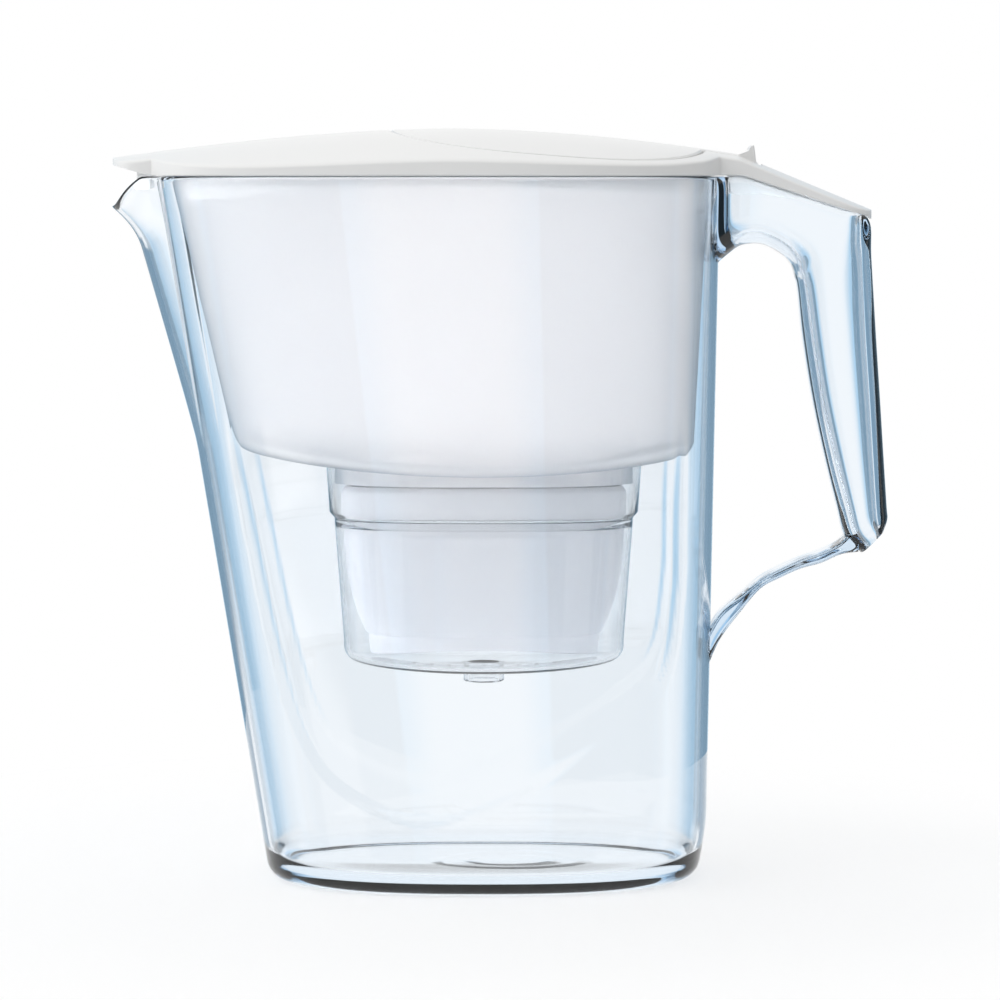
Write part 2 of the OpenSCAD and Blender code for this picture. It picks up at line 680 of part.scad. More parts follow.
// Handle: each pair holds a point on the inner edge, one on the outer edge and the half width there.
// The points are measured behind and below the rear of the jug's rim.
wall_start = -1.8;
arm_pairs = [
    [[wall_start, -30.5], [wall_start, 0], arm_half],
    [[3, -26.3], [3, 0], arm_half - 1.5],
    [[7.4, -23.5], [8, 0], grip_half + 0.5],
    [[14.3, -23.2], [15, 0], grip_half],
    [[21.2, -26.7], [29, 0], grip_half],
    [[24.7, -30.5], [41, 0], grip_half],
    [[26, -35], [grip_reach - 7.9, 0], grip_half]
];
grip_pairs = [
    [[26.8, -39.4], [grip_reach - 6.2, -27], grip_half],
    [[28.5, -55.3], [grip_reach - 4.5, -53], grip_half],
    [[31.9, -76], [grip_reach - 2.9, -75.5], grip_half - 0.5],
    [[36.4, -96.7], [grip_reach - 1.5, -96], grip_half - 1],
    [[40.6, -113.2], [grip_reach - 0.3, -113], grip_half - 1.7],
    [[43.5, -124], [grip_reach, -117.4], grip_half - 2.2],
    [[grip_reach - 9.3, -129.1], [grip_reach - 1.3, -121.1], grip_half - 2.6]
];
arm_count = len(arm_pairs);
function on_rim(p) = [rim_rear + p[0], rim_z + p[1]];
// The arm's upper edge follows the underside of the lid's tail
handle_edges = concat(
    [for (p = arm_pairs) [on_rim(p[0]), [rim_rear + p[1][0], under(rim_rear + p[1][0]) - slide_gap], p[2]]],
    [for (p = grip_pairs) [on_rim(p[0]), on_rim(p[1]), p[2]]]);

function grip_ring(inner, outer, half, n_outer) =
    [for (i = [0:grip_points - 1])
        let (t = 360 * i / grip_points,
             n = sin(t) > 0 ? n_outer : 3.5,
             across_y = half * sign(cos(t)) * pow(abs(cos(t)), 2 / n),
             along = sign(sin(t)) * pow(abs(sin(t)), 2 / n),
             mid = (inner + outer) / 2,
             p = mid + (outer - inner) / 2 * along)
            [p[0], across_y, p[1]]];
function unit(v) = v / norm(v);

module handle_solid() {
    skin([for (i = [0:len(handle_edges) - 1])
        let (e = handle_edges[i])
            grip_ring(e[0], e[1], e[2], i < arm_count ? 9 : 3.5)]);
}

// The hollow is open under the lid's tail and at the foot of the grip
module handle_hollow() {
    last = len(handle_edges) - 1;
    foot = handle_edges[last];
    rings = [for (i = [0:last])
        let (e = handle_edges[i],
             dir = unit(e[1] - e[0]),
             wall = i == last ? mouth_wall : grip_wall,
             start = i == 0 ? [1 - wall_start, 0] : [0, 0],
             inner = e[0] + dir * wall + start,
             outer = i < arm_count ? e[1] + [i == arm_count - 1 ? -grip_wall : 0, 2.5] + start
                                   : e[1] - dir * wall)
            grip_ring(inner, outer, e[2] - wall, i < arm_count ? 9 : 3.5)];
    past = [2, -4.4];
    skin(concat(rings, [[for (p = rings[last]) [p[0] + past[0], p[1], p[2] + past[1]]]]));
}

// Curved strut from the foot of the grip to the jug's rear wall, sunk in it as the arm is
strut_drop = 154;
strut_root = jug_rear(rim_z - strut_drop) - rim_rear + wall_start;
strut_top = [[strut_root, -strut_drop], [7.4, -143.9], [14.3, -138.1], [21.2, -134.3], [28.1, -131.2],
             [35, -128.8], [41.9, -125.3], [46, -121]];
module strut() {
    foot = 7;
    lower = [for (i = [len(strut_top) - 1:-1:0])
        let (p = strut_top[i])
            [rim_rear + p[0] + (i == len(strut_top) - 1 ? 2 : 0),
             rim_z + p[1] - strut_t - (i == 0 ? foot : i == 1 ? 2.4 : i > 5 ? 1 : 0)
                 - (i == len(strut_top) - 1 ? 3.5 : 0)]];
    translate([0, strut_half, 0])
        rotate([90, 0, 0])
            linear_extrude(2 * strut_half)
                polygon(concat([for (p = strut_top) on_rim(p)], lower));
}

module jug_handle() {
    color(clear_blue)
        difference() {
            union() {
                handle_solid();
                strut();
            }
            handle_hollow();
        }
}

jug_body();
jug_handle();
funnel();
filter_housing();
cartridge_case();
cartridge_cap();
cartridge_seal();
inlet_felt();
carbon_bed();
divider_screen();
resin_bed();
outlet_felt();
lid();
fill_flap();
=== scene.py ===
# %% [markdown]
# # Water filter pitcher with a flip lid
# The real pitcher is a clear jug of styrene acrylonitrile, a milky funnel that hangs in its rim, an oval
# cartridge in a clear housing under the funnel, and a white lid with a hinged fill flap.
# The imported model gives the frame, and each piece here is made again with finer surfaces in the same place.

# %% Load the frame
import json
import math

import bmesh
import bpy
import numpy as np
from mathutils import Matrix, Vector

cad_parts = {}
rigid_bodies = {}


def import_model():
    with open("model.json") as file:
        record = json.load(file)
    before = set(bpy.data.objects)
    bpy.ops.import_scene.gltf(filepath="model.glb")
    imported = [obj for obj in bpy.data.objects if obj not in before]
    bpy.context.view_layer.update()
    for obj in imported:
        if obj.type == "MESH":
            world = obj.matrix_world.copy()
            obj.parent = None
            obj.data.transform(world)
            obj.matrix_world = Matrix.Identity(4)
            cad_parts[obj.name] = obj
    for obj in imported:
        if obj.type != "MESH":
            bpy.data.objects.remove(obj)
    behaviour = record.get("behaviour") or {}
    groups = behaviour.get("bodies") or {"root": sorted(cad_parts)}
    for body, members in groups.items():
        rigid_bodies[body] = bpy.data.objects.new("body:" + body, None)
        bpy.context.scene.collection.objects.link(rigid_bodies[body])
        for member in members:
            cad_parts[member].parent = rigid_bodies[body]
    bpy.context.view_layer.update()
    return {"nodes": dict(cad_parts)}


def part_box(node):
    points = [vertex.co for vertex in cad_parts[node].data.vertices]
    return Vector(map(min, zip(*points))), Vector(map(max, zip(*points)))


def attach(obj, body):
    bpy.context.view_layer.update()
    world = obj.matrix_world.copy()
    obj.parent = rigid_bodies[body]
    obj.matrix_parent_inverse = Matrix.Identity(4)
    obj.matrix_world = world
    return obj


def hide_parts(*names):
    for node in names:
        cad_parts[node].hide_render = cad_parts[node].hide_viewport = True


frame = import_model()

MM = 0.001
print("CAD nodes:", len(frame["nodes"]))

# %% [markdown]
# ## Colours and nodes
# Colours are written as sRGB hex values, as a colour picker gives them, and Cycles works with linear light.
# One helper adds a node with its settings, its input values and its links.

# %% Colour and node helpers
def linear(colour):
    """An sRGB hex colour as linear red, green, blue and alpha."""
    parts = [int(colour[i:i + 2], 16) / 255 for i in (1, 3, 5)]
    return [p / 12.92 if p <= 0.04045 else ((p + 0.055) / 1.055) ** 2.4 for p in parts] + [1.0]


def add(tree, kind, settings=None, values=None, links=None):
    """Adds a node of a kind, with its settings, its input values and its links from other nodes' outputs."""
    node = tree.nodes.new(kind)
    for name, value in (settings or {}).items():
        setattr(node, name, value)
    for name, value in (values or {}).items():
        node.inputs[name].default_value = value
    for name, source in (links or {}).items():
        tree.links.new(source, node.inputs[name])
    return node


def empty_material(name):
    """A new material, its empty node tree, and the output that gives places on its object."""
    material = bpy.data.materials.new(name)
    material.use_nodes = True
    tree = material.node_tree
    tree.nodes.clear()
    return material, tree, add(tree, "ShaderNodeTexCoord").outputs["Object"]


print("A mid grey is", round(linear("#808080")[0], 3), "in linear light")

# %% [markdown]
# ## Clear pale-blue SAN, injection moulded and polished
# The jug is styrene acrylonitrile, a glass-clear plastic with an index of refraction of 1.57.
# Its blue tint is in the bulk of the plastic, so thick edges look deep blue and thin walls nearly clear.
# That asks for volume absorption and not for a tinted surface. Moulding leaves a faint waviness,
# tens of millimetres long, that only the reflections show.

# %% Clear SAN
def clear_plastic(name, tint, density, wave_mm, wave_height_mm):
    """A polished clear plastic whose bulk absorbs light, with a faint moulded waviness."""
    material, tree, place = empty_material(name)
    wave = add(tree, "ShaderNodeTexNoise", {}, {"Scale": 1 / (wave_mm * MM), "Detail": 1.0},
               {"Vector": place})
    bump = add(tree, "ShaderNodeBump", {}, {"Strength": 0.2, "Distance": wave_height_mm * MM},
               {"Height": wave.outputs["Fac"]})
    shader = add(tree, "ShaderNodeBsdfPrincipled", {},
                 {"Base Color": (1, 1, 1, 1), "Roughness": 0.0, "IOR": 1.57, "Transmission Weight": 1.0},
                 {"Normal": bump.outputs["Normal"]})
    bulk = add(tree, "ShaderNodeVolumeAbsorption", {}, {"Color": linear(tint), "Density": density})
    add(tree, "ShaderNodeOutputMaterial", {}, {},
        {"Surface": shader.outputs["BSDF"], "Volume": bulk.outputs["Volume"]})
    return material


clear_san = clear_plastic("Clear_pale_blue_SAN", "#5CBDEE", 24.0, 45, 0.01)
grey_clear_san = clear_plastic("Clear_grey_SAN", "#8FA9BC", 50.0, 30, 0.015)
print("Clear plastics:", clear_san.name, grey_clear_san.name)

# %% [markdown]
# ## Milky SAN
# The funnel is the same plastic with a white filler, smooth on both faces. Light passes, but what lies
# behind is blurred. A part of the light passes with a wide lobe, and the rest scatters as from white paint.
# Where the wall is seen edge on, its colour is painted blue-grey: painted shade that darkens the funnel's
# edges.

# %% Milky SAN
FILLER_SHARE = 0.4


def milky_plastic():
    """A smooth translucent plastic that blurs what lies behind it."""
    material, tree, place = empty_material("Milky_SAN")
    cloud = add(tree, "ShaderNodeTexNoise", {}, {"Scale": 1 / (30 * MM), "Detail": 2.0},
                {"Vector": place})
    face = add(tree, "ShaderNodeMix", {"data_type": "RGBA"}, {"A": linear("#F3F0EF"), "B": linear("#F7F4F3")},
               {"Factor": cloud.outputs["Fac"]})
    # Painted shade: towards a grazing view the colour is mixed to blue-grey, which darkens the funnel's
    # edges.
    facing = add(tree, "ShaderNodeLayerWeight", {}, {"Blend": 0.5})
    edge = add(tree, "ShaderNodeMath", {"operation": "POWER"}, {1: 2.2}, {0: facing.outputs["Facing"]})
    colour = add(tree, "ShaderNodeMix", {"data_type": "RGBA"}, {"B": linear("#6C8496")},
                 {"Factor": edge.outputs["Value"], "A": face.outputs["Result"]})
    clear = add(tree, "ShaderNodeBsdfPrincipled", {},
                {"Roughness": 0.3, "IOR": 1.3, "Transmission Weight": 1.0},
                {"Base Color": colour.outputs["Result"]})
    filler = add(tree, "ShaderNodeBsdfPrincipled", {}, {"Roughness": 0.3, "IOR": 1.5},
                 {"Base Color": colour.outputs["Result"]})
    side = add(tree, "ShaderNodeNewGeometry")
    share = add(tree, "ShaderNodeMapRange", {}, {"To Min": FILLER_SHARE, "To Max": 0.0},
                {"Value": side.outputs["Backfacing"]})
    both = add(tree, "ShaderNodeMixShader", {}, {},
               {0: share.outputs["Result"], 1: clear.outputs["BSDF"], 2: filler.outputs["BSDF"]})
    add(tree, "ShaderNodeOutputMaterial", {}, {}, {"Surface": both.outputs["Shader"]})
    return material


milky_san = milky_plastic()
print("Translucent plastic:", milky_san.name)

# %% [markdown]
# ## Opaque moulded plastics
# The lid is white ABS and the cartridge is lilac-grey polypropylene, both moulded with a fine satin grain.
# The grain of a real lid is about 0.1 mm wide, too fine to show, so it is drawn at 0.4 mm as a slight bump.
# A second, wide noise shifts the colour a little, as uneven gloss does on a large moulding.

# %% Satin plastics
def satin_plastic(name, light, dark, roughness, grain_mm, grain_height_mm):
    """An opaque moulded plastic with a fine grain and a slight shift of its colour."""
    material, tree, place = empty_material(name)
    cloud = add(tree, "ShaderNodeTexNoise", {}, {"Scale": 1 / (60 * MM), "Detail": 2.0},
                {"Vector": place})
    colour = add(tree, "ShaderNodeMix", {"data_type": "RGBA"}, {"A": linear(light), "B": linear(dark)},
                 {"Factor": cloud.outputs["Fac"]})
    grain = add(tree, "ShaderNodeTexNoise", {}, {"Scale": 1 / (grain_mm * MM), "Detail": 2.0},
                {"Vector": place})
    bump = add(tree, "ShaderNodeBump", {}, {"Strength": 0.25, "Distance": grain_height_mm * MM},
               {"Height": grain.outputs["Fac"]})
    shader = add(tree, "ShaderNodeBsdfPrincipled", {},
                 {"Roughness": roughness, "IOR": 1.5},
                 {"Base Color": colour.outputs["Result"], "Normal": bump.outputs["Normal"]})
    add(tree, "ShaderNodeOutputMaterial", {}, {}, {"Surface": shader.outputs["BSDF"]})
    return material


white_abs = satin_plastic("White_ABS_satin_moulded", "#F2F2F1", "#EFEFEE", 0.34, 0.4, 0.02)
cartridge_pp = satin_plastic("Lilac_grey_polypropylene_moulded", "#D2CFD0", "#CFCCCD", 0.42, 0.5, 0.03)
seal_tpe = satin_plastic("White_elastomer_moulded", "#EDEEF0", "#E6E8EA", 0.6, 0.3, 0.02)
print("Opaque plastics:", white_abs.name, cartridge_pp.name, seal_tpe.name)

# %% [markdown]
# ## The filter media
# The cartridge holds two felts and a screen of white non-woven fibre, a bed of activated carbon and a bed of
# amber ion-exchange resin. Carbon granules are 0.5 to 1 mm across and resin beads 0.6 mm, so texture cells
# of those sizes give each its grains, as colour and as bump.

# %% Granules and felt
def grain_bed(name, dark, light, grain_mm, roughness):
    """A bed of loose grains: each cell of the texture is one grain."""
    material, tree, place = empty_material(name)
    cells = add(tree, "ShaderNodeTexVoronoi", {}, {"Scale": 1 / (grain_mm * MM)},
                {"Vector": place})
    colour = add(tree, "ShaderNodeMix", {"data_type": "RGBA"}, {"A": linear(dark), "B": linear(light)},
                 {"Factor": cells.outputs["Color"]})
    bump = add(tree, "ShaderNodeBump", {"invert": True}, {"Strength": 0.9, "Distance": grain_mm * MM / 2},
               {"Height": cells.outputs["Distance"]})
    shader = add(tree, "ShaderNodeBsdfPrincipled", {}, {"Roughness": roughness},
                 {"Base Color": colour.outputs["Result"], "Normal": bump.outputs["Normal"]})
    add(tree, "ShaderNodeOutputMaterial", {}, {}, {"Surface": shader.outputs["BSDF"]})
    return material


carbon = grain_bed("Activated_carbon_granules", "#0C0C0E", "#2A2A2D", 0.8, 0.7)
resin = grain_bed("Ion_exchange_resin_beads", "#B98732", "#E3B765", 0.6, 0.25)
felt = grain_bed("White_polypropylene_felt", "#E6E6E3", "#F4F4F2", 0.35, 0.95)
print("Filter media:", carbon.name, resin.name, felt.name)

# %% [markdown]
# ## Skins over rings
# Every moulded shell here is an oval that changes with height, so it can be made from rings of points.
# A closed profile of rings gives a band, and an open one gets its two ends closed. Straight from the formula,
# the mesh is as fine as it has to be, with no subdivision that would shrink the size.

# %% Mesh helpers
def mix(a, b, share):
    return a + (b - a) * share


def signed_power(value, exponent):
    return np.sign(value) * np.abs(value) ** exponent


def oval(front, rear, half, turn, squareness=2.5):
    """x and y of an oval from an x in front to an x behind, where turn 0 is behind."""
    x = (front + rear) / 2 + (rear - front) / 2 * signed_power(np.cos(turn), 2 / squareness)
    return x, half * signed_power(np.sin(turn), 2 / squareness)


def link_mesh(name, mesh, work):
    """Writes work into a mesh and links a new object that holds it."""
    work.to_mesh(mesh)
    work.free()
    thing = bpy.data.objects.new(name, mesh)
    bpy.context.scene.collection.objects.link(thing)
    return thing


def ring_object(name, rings, band=False):
    """A mesh object over rings of points in millimetres, closed at its ends or joined into a band."""
    rings = np.asarray(rings, float)
    rows, columns = rings.shape[:2]
    row = np.arange(rows if band else rows - 1)[:, None]
    column = np.arange(columns)[None, :]
    up, after = (row + 1) % rows, (column + 1) % columns
    quads = np.stack([row * columns + column, row * columns + after, up * columns + after,
                      up * columns + column], axis=-1).reshape(-1, 4).tolist()
    points = rings.reshape(-1, 3)
    if not band:
        points = np.vstack([points, rings[0].mean(0), rings[-1].mean(0)])
        last = (rows - 1) * columns
        for i in range(columns):
            j = (i + 1) % columns
            quads.append([rows * columns, j, i])
            quads.append([rows * columns + 1, last + i, last + j])
    mesh = bpy.data.meshes.new(name)
    mesh.from_pydata((points * MM).tolist(), [], quads)
    work = bmesh.new()
    work.from_mesh(mesh)
    bmesh.ops.recalc_face_normals(work, faces=work.faces)
    return link_mesh(name, mesh, work)


def block(name, low, high, bevel=0.0):
    """A box between two corners in millimetres, with rounded edges if bevel is set."""
    work = bmesh.new()
    bmesh.ops.create_cube(work, size=1)
    for vertex in work.verts:
        vertex.co = [mix(low[k], high[k], vertex.co[k] + 0.5) * MM for k in range(3)]
    if bevel:
        bmesh.ops.bevel(work, geom=work.edges, offset=bevel * MM, segments=3, profile=0.5, affect="EDGES")
    return link_mesh(name, bpy.data.meshes.new(name), work)


def combine(target, tool, operation="UNION"):
    """Joins, cuts or intersects target with tool, and removes the tool."""
    modifier = target.modifiers.new("combine", "BOOLEAN")
    modifier.object = tool
    modifier.operation = operation
    modifier.solver = "MANIFOLD"
    graph = bpy.context.evaluated_depsgraph_get()
    mesh = bpy.data.meshes.new_from_object(target.evaluated_get(graph))
    target.modifiers.clear()
    target.data = mesh
    bpy.data.objects.remove(tool)
    return target


def finish_piece(thing, body, nodes, material, sharp=38):
    """Smooths a piece, gives it its finish and its place in the frame."""
    mesh = thing.data
    mesh.materials.clear()
    mesh.materials.append(material)
    mesh.polygons.foreach_set("material_index", [0] * len(mesh.polygons))
    mesh.polygons.foreach_set("use_smooth", [True] * len(mesh.polygons))
    mesh.set_sharp_from_angle(angle=math.radians(sharp))
    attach(thing, body)
    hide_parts(*nodes)
    low = np.array([v.co for v in mesh.vertices]).min(0) / MM
    high = np.array([v.co for v in mesh.vertices]).max(0) / MM
    print(thing.name, len(mesh.polygons), "faces,", np.round(high - low, 1), "mm")


def smooth_line(points, steps):
    """A smooth line through points, as a cubic spline, with a number of steps between each two."""
    points = np.asarray(points, float)
    padded = np.vstack([2 * points[0] - points[1], points, 2 * points[-1] - points[-2]])
    shares = np.arange(steps)[:, None] / steps
    line = []
    for a, b, c, d in zip(padded, padded[1:], padded[2:], padded[3:]):
        line.append(0.5 * (2 * b + (c - a) * shares + (2 * a - 5 * b + 4 * c - d) * shares ** 2
                           + (3 * b - a - 3 * c + d) * shares ** 3))
    return np.vstack(line + [points[-1:]])


print("A quarter of an oval reaches", np.round(oval(-10, 10, 5, np.pi / 4), 2))

# %% [markdown]
# ## The jug's body
# The body is one oval shell from the base to the rim, 2.5 mm thick, with a spout drawn out of its front.
# Its side walls have a panel set in by less than a millimetre, whose edge catches the light.
# The same formula gives the outer and the inner wall, so the wall keeps its thickness everywhere.

# %% Jug sizes in millimetres
RIM_Z, RIM_FRONT, RIM_REAR, RIM_DEPTH = 241.0, 113.4, 81.0, 106.0
BASE_FRONT, BASE_REAR, BASE_DEPTH = 74.4, 76.8, 102.0
HEEL_TUCK, HEEL_Z, BASE_R = 3.0, 22.0, 5.0
JUG_WALL, JUG_FLOOR, INNER_CORNER_R = 2.5, 3.0, 8.0
SPOUT_Z, LIP_Z, SPOUT_OUT, FLARE_Z, FLARE_OUT, SPOUT_HALF = 150.0, 231.0, 9.8, 216.0, 6.6, 19.5
BLEND_Z, LIP_SIDE = 200.0, 0.86
PANEL_STEP, PANEL_EDGE = 0.9, 2.2
GATE_X, GATE_STEPS = 9.5, ((0.3, 14.7), (0.25, 25.9))


def jug_front(z):
    return -mix(BASE_FRONT, RIM_FRONT, z / RIM_Z)


def jug_rear(z):
    return mix(BASE_REAR, RIM_REAR, z / RIM_Z) - HEEL_TUCK * np.maximum(0, 1 - z / HEEL_Z) ** 1.5


def jug_half(z):
    return mix(BASE_DEPTH, RIM_DEPTH, z / RIM_Z) / 2


def spout_reach(z):
    rise = np.maximum(0, (z - SPOUT_Z) / (LIP_Z - SPOUT_Z))
    flare = np.maximum(0, (z - FLARE_Z) / (LIP_Z - FLARE_Z))
    return SPOUT_OUT * rise + FLARE_OUT * flare ** 2.2


def jug_ring(height, inset, turn):
    """Points of the jug's wall at a height, drawn in by inset, with the spout and the dip of the rim."""
    half = SPOUT_HALF - np.mean(inset) / 2
    flat_x, flat_y = oval(jug_front(height) + inset, jug_rear(height) - inset, jug_half(height) - inset, turn)
    front = flat_x < 0
    dip = (RIM_Z - LIP_Z) * np.maximum(0, 1 - (np.abs(flat_y) / half / LIP_SIDE) ** 2)
    z = height - np.where(front, dip, 0) * max(0.0, (height - BLEND_Z) / (RIM_Z - BLEND_Z))
    x, y = oval(jug_front(z) + inset, jug_rear(z) - inset, jug_half(z) - inset, turn)
    share = np.maximum(0, 1 - np.minimum(1, np.abs(y) / half) ** 1.4)
    return np.stack([x - np.where(front, spout_reach(z) * share, 0), y, z], axis=-1)


print("Front wall at the rim:", round(float(jug_front(RIM_Z)), 1))

# %% [markdown]
# The panel's edge runs down behind the spout, round under the housing and up beside the handle.
# Its outline needs ten points with a smooth line through them, and each wall point then moves in by a share
# of the step, from 0 outside the line to 1 inside, so that the edge is a soft slope about 2 mm wide.

# %% Panel outline and share of the step
PANEL = smooth_line([(-80.5, 131.4), (-70.5, 82.5), (-60.5, 51), (-46, 34.5), (-20.6, 25.4), (8, 33.5),
                     (41.7, 53.7), (60.4, 71.5), (65.8, 100), (66.4, 123.7)], 6)
PANEL_TOP = 175.0
panel_loop = np.vstack([PANEL, (67, PANEL_TOP), (-88, PANEL_TOP)])


def panel_share(x, z):
    """How far a point of the side wall takes part in the panel's step, from 0 to 1."""
    start, end = panel_loop, np.roll(panel_loop, -1, axis=0)
    run = end - start
    point = np.stack([x, z], axis=-1)[:, None, :]
    along = np.clip(((point - start) * run).sum(-1) / (run ** 2).sum(-1), 0, 1)
    distance = np.linalg.norm(point - start - along[..., None] * run, axis=-1).min(1)
    above = (start[:, 1] > z[:, None]) != (end[:, 1] > z[:, None])
    rise = np.where(run[:, 1] == 0, 1e-9, run[:, 1])
    left = x[:, None] < start[:, 0] + (z[:, None] - start[:, 1]) * run[:, 0] / rise
    inside = (above & left).sum(1) % 2 == 1
    depth = np.clip(np.where(inside, distance, -distance) / PANEL_EDGE + 0.5, 0, 1)
    fade = np.clip((PANEL_TOP - 10 - z) / 40, 0, 1)
    return depth ** 2 * (3 - 2 * depth) * fade ** 2 * (3 - 2 * fade)


print("Panel outline:", len(PANEL), "points")

# %% Jug body mesh
turn = np.radians(np.concatenate([np.arange(0, 150, 1.25), np.arange(150, 210, 0.6),
                                  np.arange(210, 360, 1.25)]))
wall_levels = np.concatenate([np.arange(7, 21, 3.5), np.arange(21, 136, 1.5), np.arange(136, 200, 4),
                              np.arange(200, 239.5, 1.5)])


def wall_ring(height, inset):
    """A ring of the wall with the panel's step in it."""
    ring = jug_ring(height, inset, turn)
    return jug_ring(height, inset + PANEL_STEP * panel_share(ring[:, 0], ring[:, 2]), turn)


def floor_height(x, y):
    """The inner floor's height, with two shallow rings round the moulding gate."""
    from_gate = np.hypot(x - GATE_X, y)
    return JUG_FLOOR + sum(rise / (1 + np.exp((from_gate - radius) * 3)) for rise, radius in GATE_STEPS)


quarter = np.radians(np.linspace(0, 90, 9))
rings = [jug_ring(BASE_R * (1 - math.cos(a)), BASE_R * (1 - math.sin(a)), turn) for a in quarter]
rings += [wall_ring(z, 0.0) for z in wall_levels]
rim_r = JUG_WALL / 2
rings += [jug_ring(RIM_Z - rim_r + rim_r * math.sin(a), rim_r * (1 - math.cos(a)), turn)
          for a in np.radians(np.linspace(0, 180, 13))]
rings += [wall_ring(z, JUG_WALL) for z in wall_levels[::-1] if z > JUG_FLOOR + INNER_CORNER_R]
rings += [jug_ring(JUG_FLOOR + INNER_CORNER_R * (1 - math.cos(a)),
                   JUG_WALL + INNER_CORNER_R * (1 - math.sin(a)), turn) for a in quarter[::-1]]
floor_edge = rings[-1]
for share in np.linspace(0.04, 0.98, 26):
    ring = mix(floor_edge, floor_edge.mean(0), share)
    ring[:, 2] = floor_height(ring[:, 0], ring[:, 1])
    rings.append(ring)
jug = ring_object("clear_jug", rings)
print("Jug body:", len(rings), "rings of", len(turn), "points")

# %% [markdown]
# ## The hollow handle and its strut
# The handle is part of the same moulding: an arm that is open under the lid's tail, a hollow grip that is
# open at its foot, and a curved strut back to the wall. Each pair below holds a point on the inner edge and
# one on the outer edge, measured from the rear of the rim, and the half width there. A ring goes round each
# pair, the hollow is cut from the solid, and the handle is joined to the body, so light meets no inner face.

# %% Handle sizes
GRIP_REACH, GRIP_HALF, ARM_HALF = 58.1, 13.5, 16.5
GRIP_WALL, MOUTH_WALL, STRUT_HALF, STRUT_T = 3.0, 1.6, 9.0, 3.6
SEAT_GAP, SLIDE_GAP = 0.2, 0.3
LID_BOTTOM, TAIL_START, TAIL_SLOPE = RIM_Z + SEAT_GAP + 0.1, RIM_REAR + 7, 0.33
ROOT = -1.8


def tail_under(x):
    """Height of the underside of the lid's tail."""
    return LID_BOTTOM - TAIL_SLOPE * np.maximum(0, x - TAIL_START)


ARM = [((ROOT, -30.5), ROOT, ARM_HALF), ((3, -26.3), 3, ARM_HALF - 1.5), ((7.4, -23.5), 8, GRIP_HALF + 0.5),
       ((14.3, -23.2), 15, GRIP_HALF), ((21.2, -26.7), 29, GRIP_HALF), ((24.7, -30.5), 41, GRIP_HALF),
       ((26, -35), GRIP_REACH - 7.9, GRIP_HALF)]
GRIP = [((26.8, -39.4), (GRIP_REACH - 6.2, -27), GRIP_HALF),
        ((28.5, -55.3), (GRIP_REACH - 4.5, -53), GRIP_HALF),
        ((31.9, -76), (GRIP_REACH - 2.9, -75.5), GRIP_HALF - 0.5),
        ((36.4, -96.7), (GRIP_REACH - 1.5, -96), GRIP_HALF - 1),
        ((40.6, -113.2), (GRIP_REACH - 0.3, -113), GRIP_HALF - 1.7),
        ((43.5, -124), (GRIP_REACH, -117.4), GRIP_HALF - 2.2),
        ((GRIP_REACH - 9.3, -129.1), (GRIP_REACH - 1.3, -121.1), GRIP_HALF - 2.6)]
rim_corner = np.array([RIM_REAR, RIM_Z])
edges = [(rim_corner + inner, np.array([RIM_REAR + x, tail_under(RIM_REAR + x) - SLIDE_GAP]), half)
         for inner, x, half in ARM]
edges += [(rim_corner + inner, rim_corner + outer, half) for inner, outer, half in GRIP]
print("Handle:", len(edges), "stations")

# %% Handle, hollow and strut
section_turn = np.radians(np.arange(0, 360, 5))


def section_ring(row):
    """A ring round one station: inner x, z, outer x, z, half width, squareness outside."""
    inner, outer, half, outside = row[0:2], row[2:4], row[4], row[5]
    squareness = np.where(np.sin(section_turn) > 0, outside, 3.5)
    y = half * signed_power(np.cos(section_turn), 2 / squareness)
    along = signed_power(np.sin(section_turn), 2 / squareness)[:, None]
    middle = (inner + outer) / 2 + (outer - inner) / 2 * along
    return np.stack([middle[:, 0], y, middle[:, 1]], axis=-1)


solid_rows, hollow_rows = [], []
for i, (inner, outer, half) in enumerate(edges):
    arm, last = i < len(ARM), i == len(edges) - 1
    direction = (outer - inner) / np.linalg.norm(outer - inner)
    wall = MOUTH_WALL if last else GRIP_WALL
    start = np.array([1 - ROOT, 0]) if i == 0 else np.zeros(2)
    open_top = outer + [-GRIP_WALL if i == len(ARM) - 1 else 0, 2.5] + start
    hollow_outer = open_top if arm else outer - direction * wall
    squareness = 9 if arm else 3.5
    solid_rows.append([*inner, *outer, half, squareness])
    hollow_rows.append([*(inner + direction * wall + start), *hollow_outer, half - wall, squareness])
hollow_rows.append(np.array(hollow_rows[-1]) + [2, -4.4, 2, -4.4, 0, 0])
handle = ring_object("handle_solid", [section_ring(r) for r in smooth_line(solid_rows, 6)])
hollow = ring_object("handle_hollow", [section_ring(r) for r in smooth_line(hollow_rows, 6)])

strut_top = [(-4, -157), (0.5, -149.8), (7.4, -143.9), (14.3, -138.1), (21.2, -134.3), (28.1, -131.2),
             (35, -128.8), (41.9, -125.3), (46, -121)]
strut_extra = [9, 6, 2.4, 0, 0, 0, 0.5, 1, 4.5]
strut_rows = [[*(rim_corner + p - (0, STRUT_T + extra)), *(rim_corner + p), STRUT_HALF, 6]
              for p, extra in zip(strut_top, strut_extra)]
strut_rows[-1][0] += 2
strut = ring_object("strut", [section_ring(r) for r in smooth_line(strut_rows, 6)])
combine(handle, strut)
combine(handle, hollow, "DIFFERENCE")
combine(jug, handle)
finish_piece(jug, "jug", ["jug_body", "jug_handle"], clear_san)

# %% [markdown]
# ## The funnel
# The funnel is an oval tank with rounded lower corners. Its flange hangs on the jug's rim, its floor rises
# towards both ends, and a short spigot leads down to the cartridge. One closed profile runs from the
# spigot's foot out along the underside, up the outer wall, over the flange and back down inside.

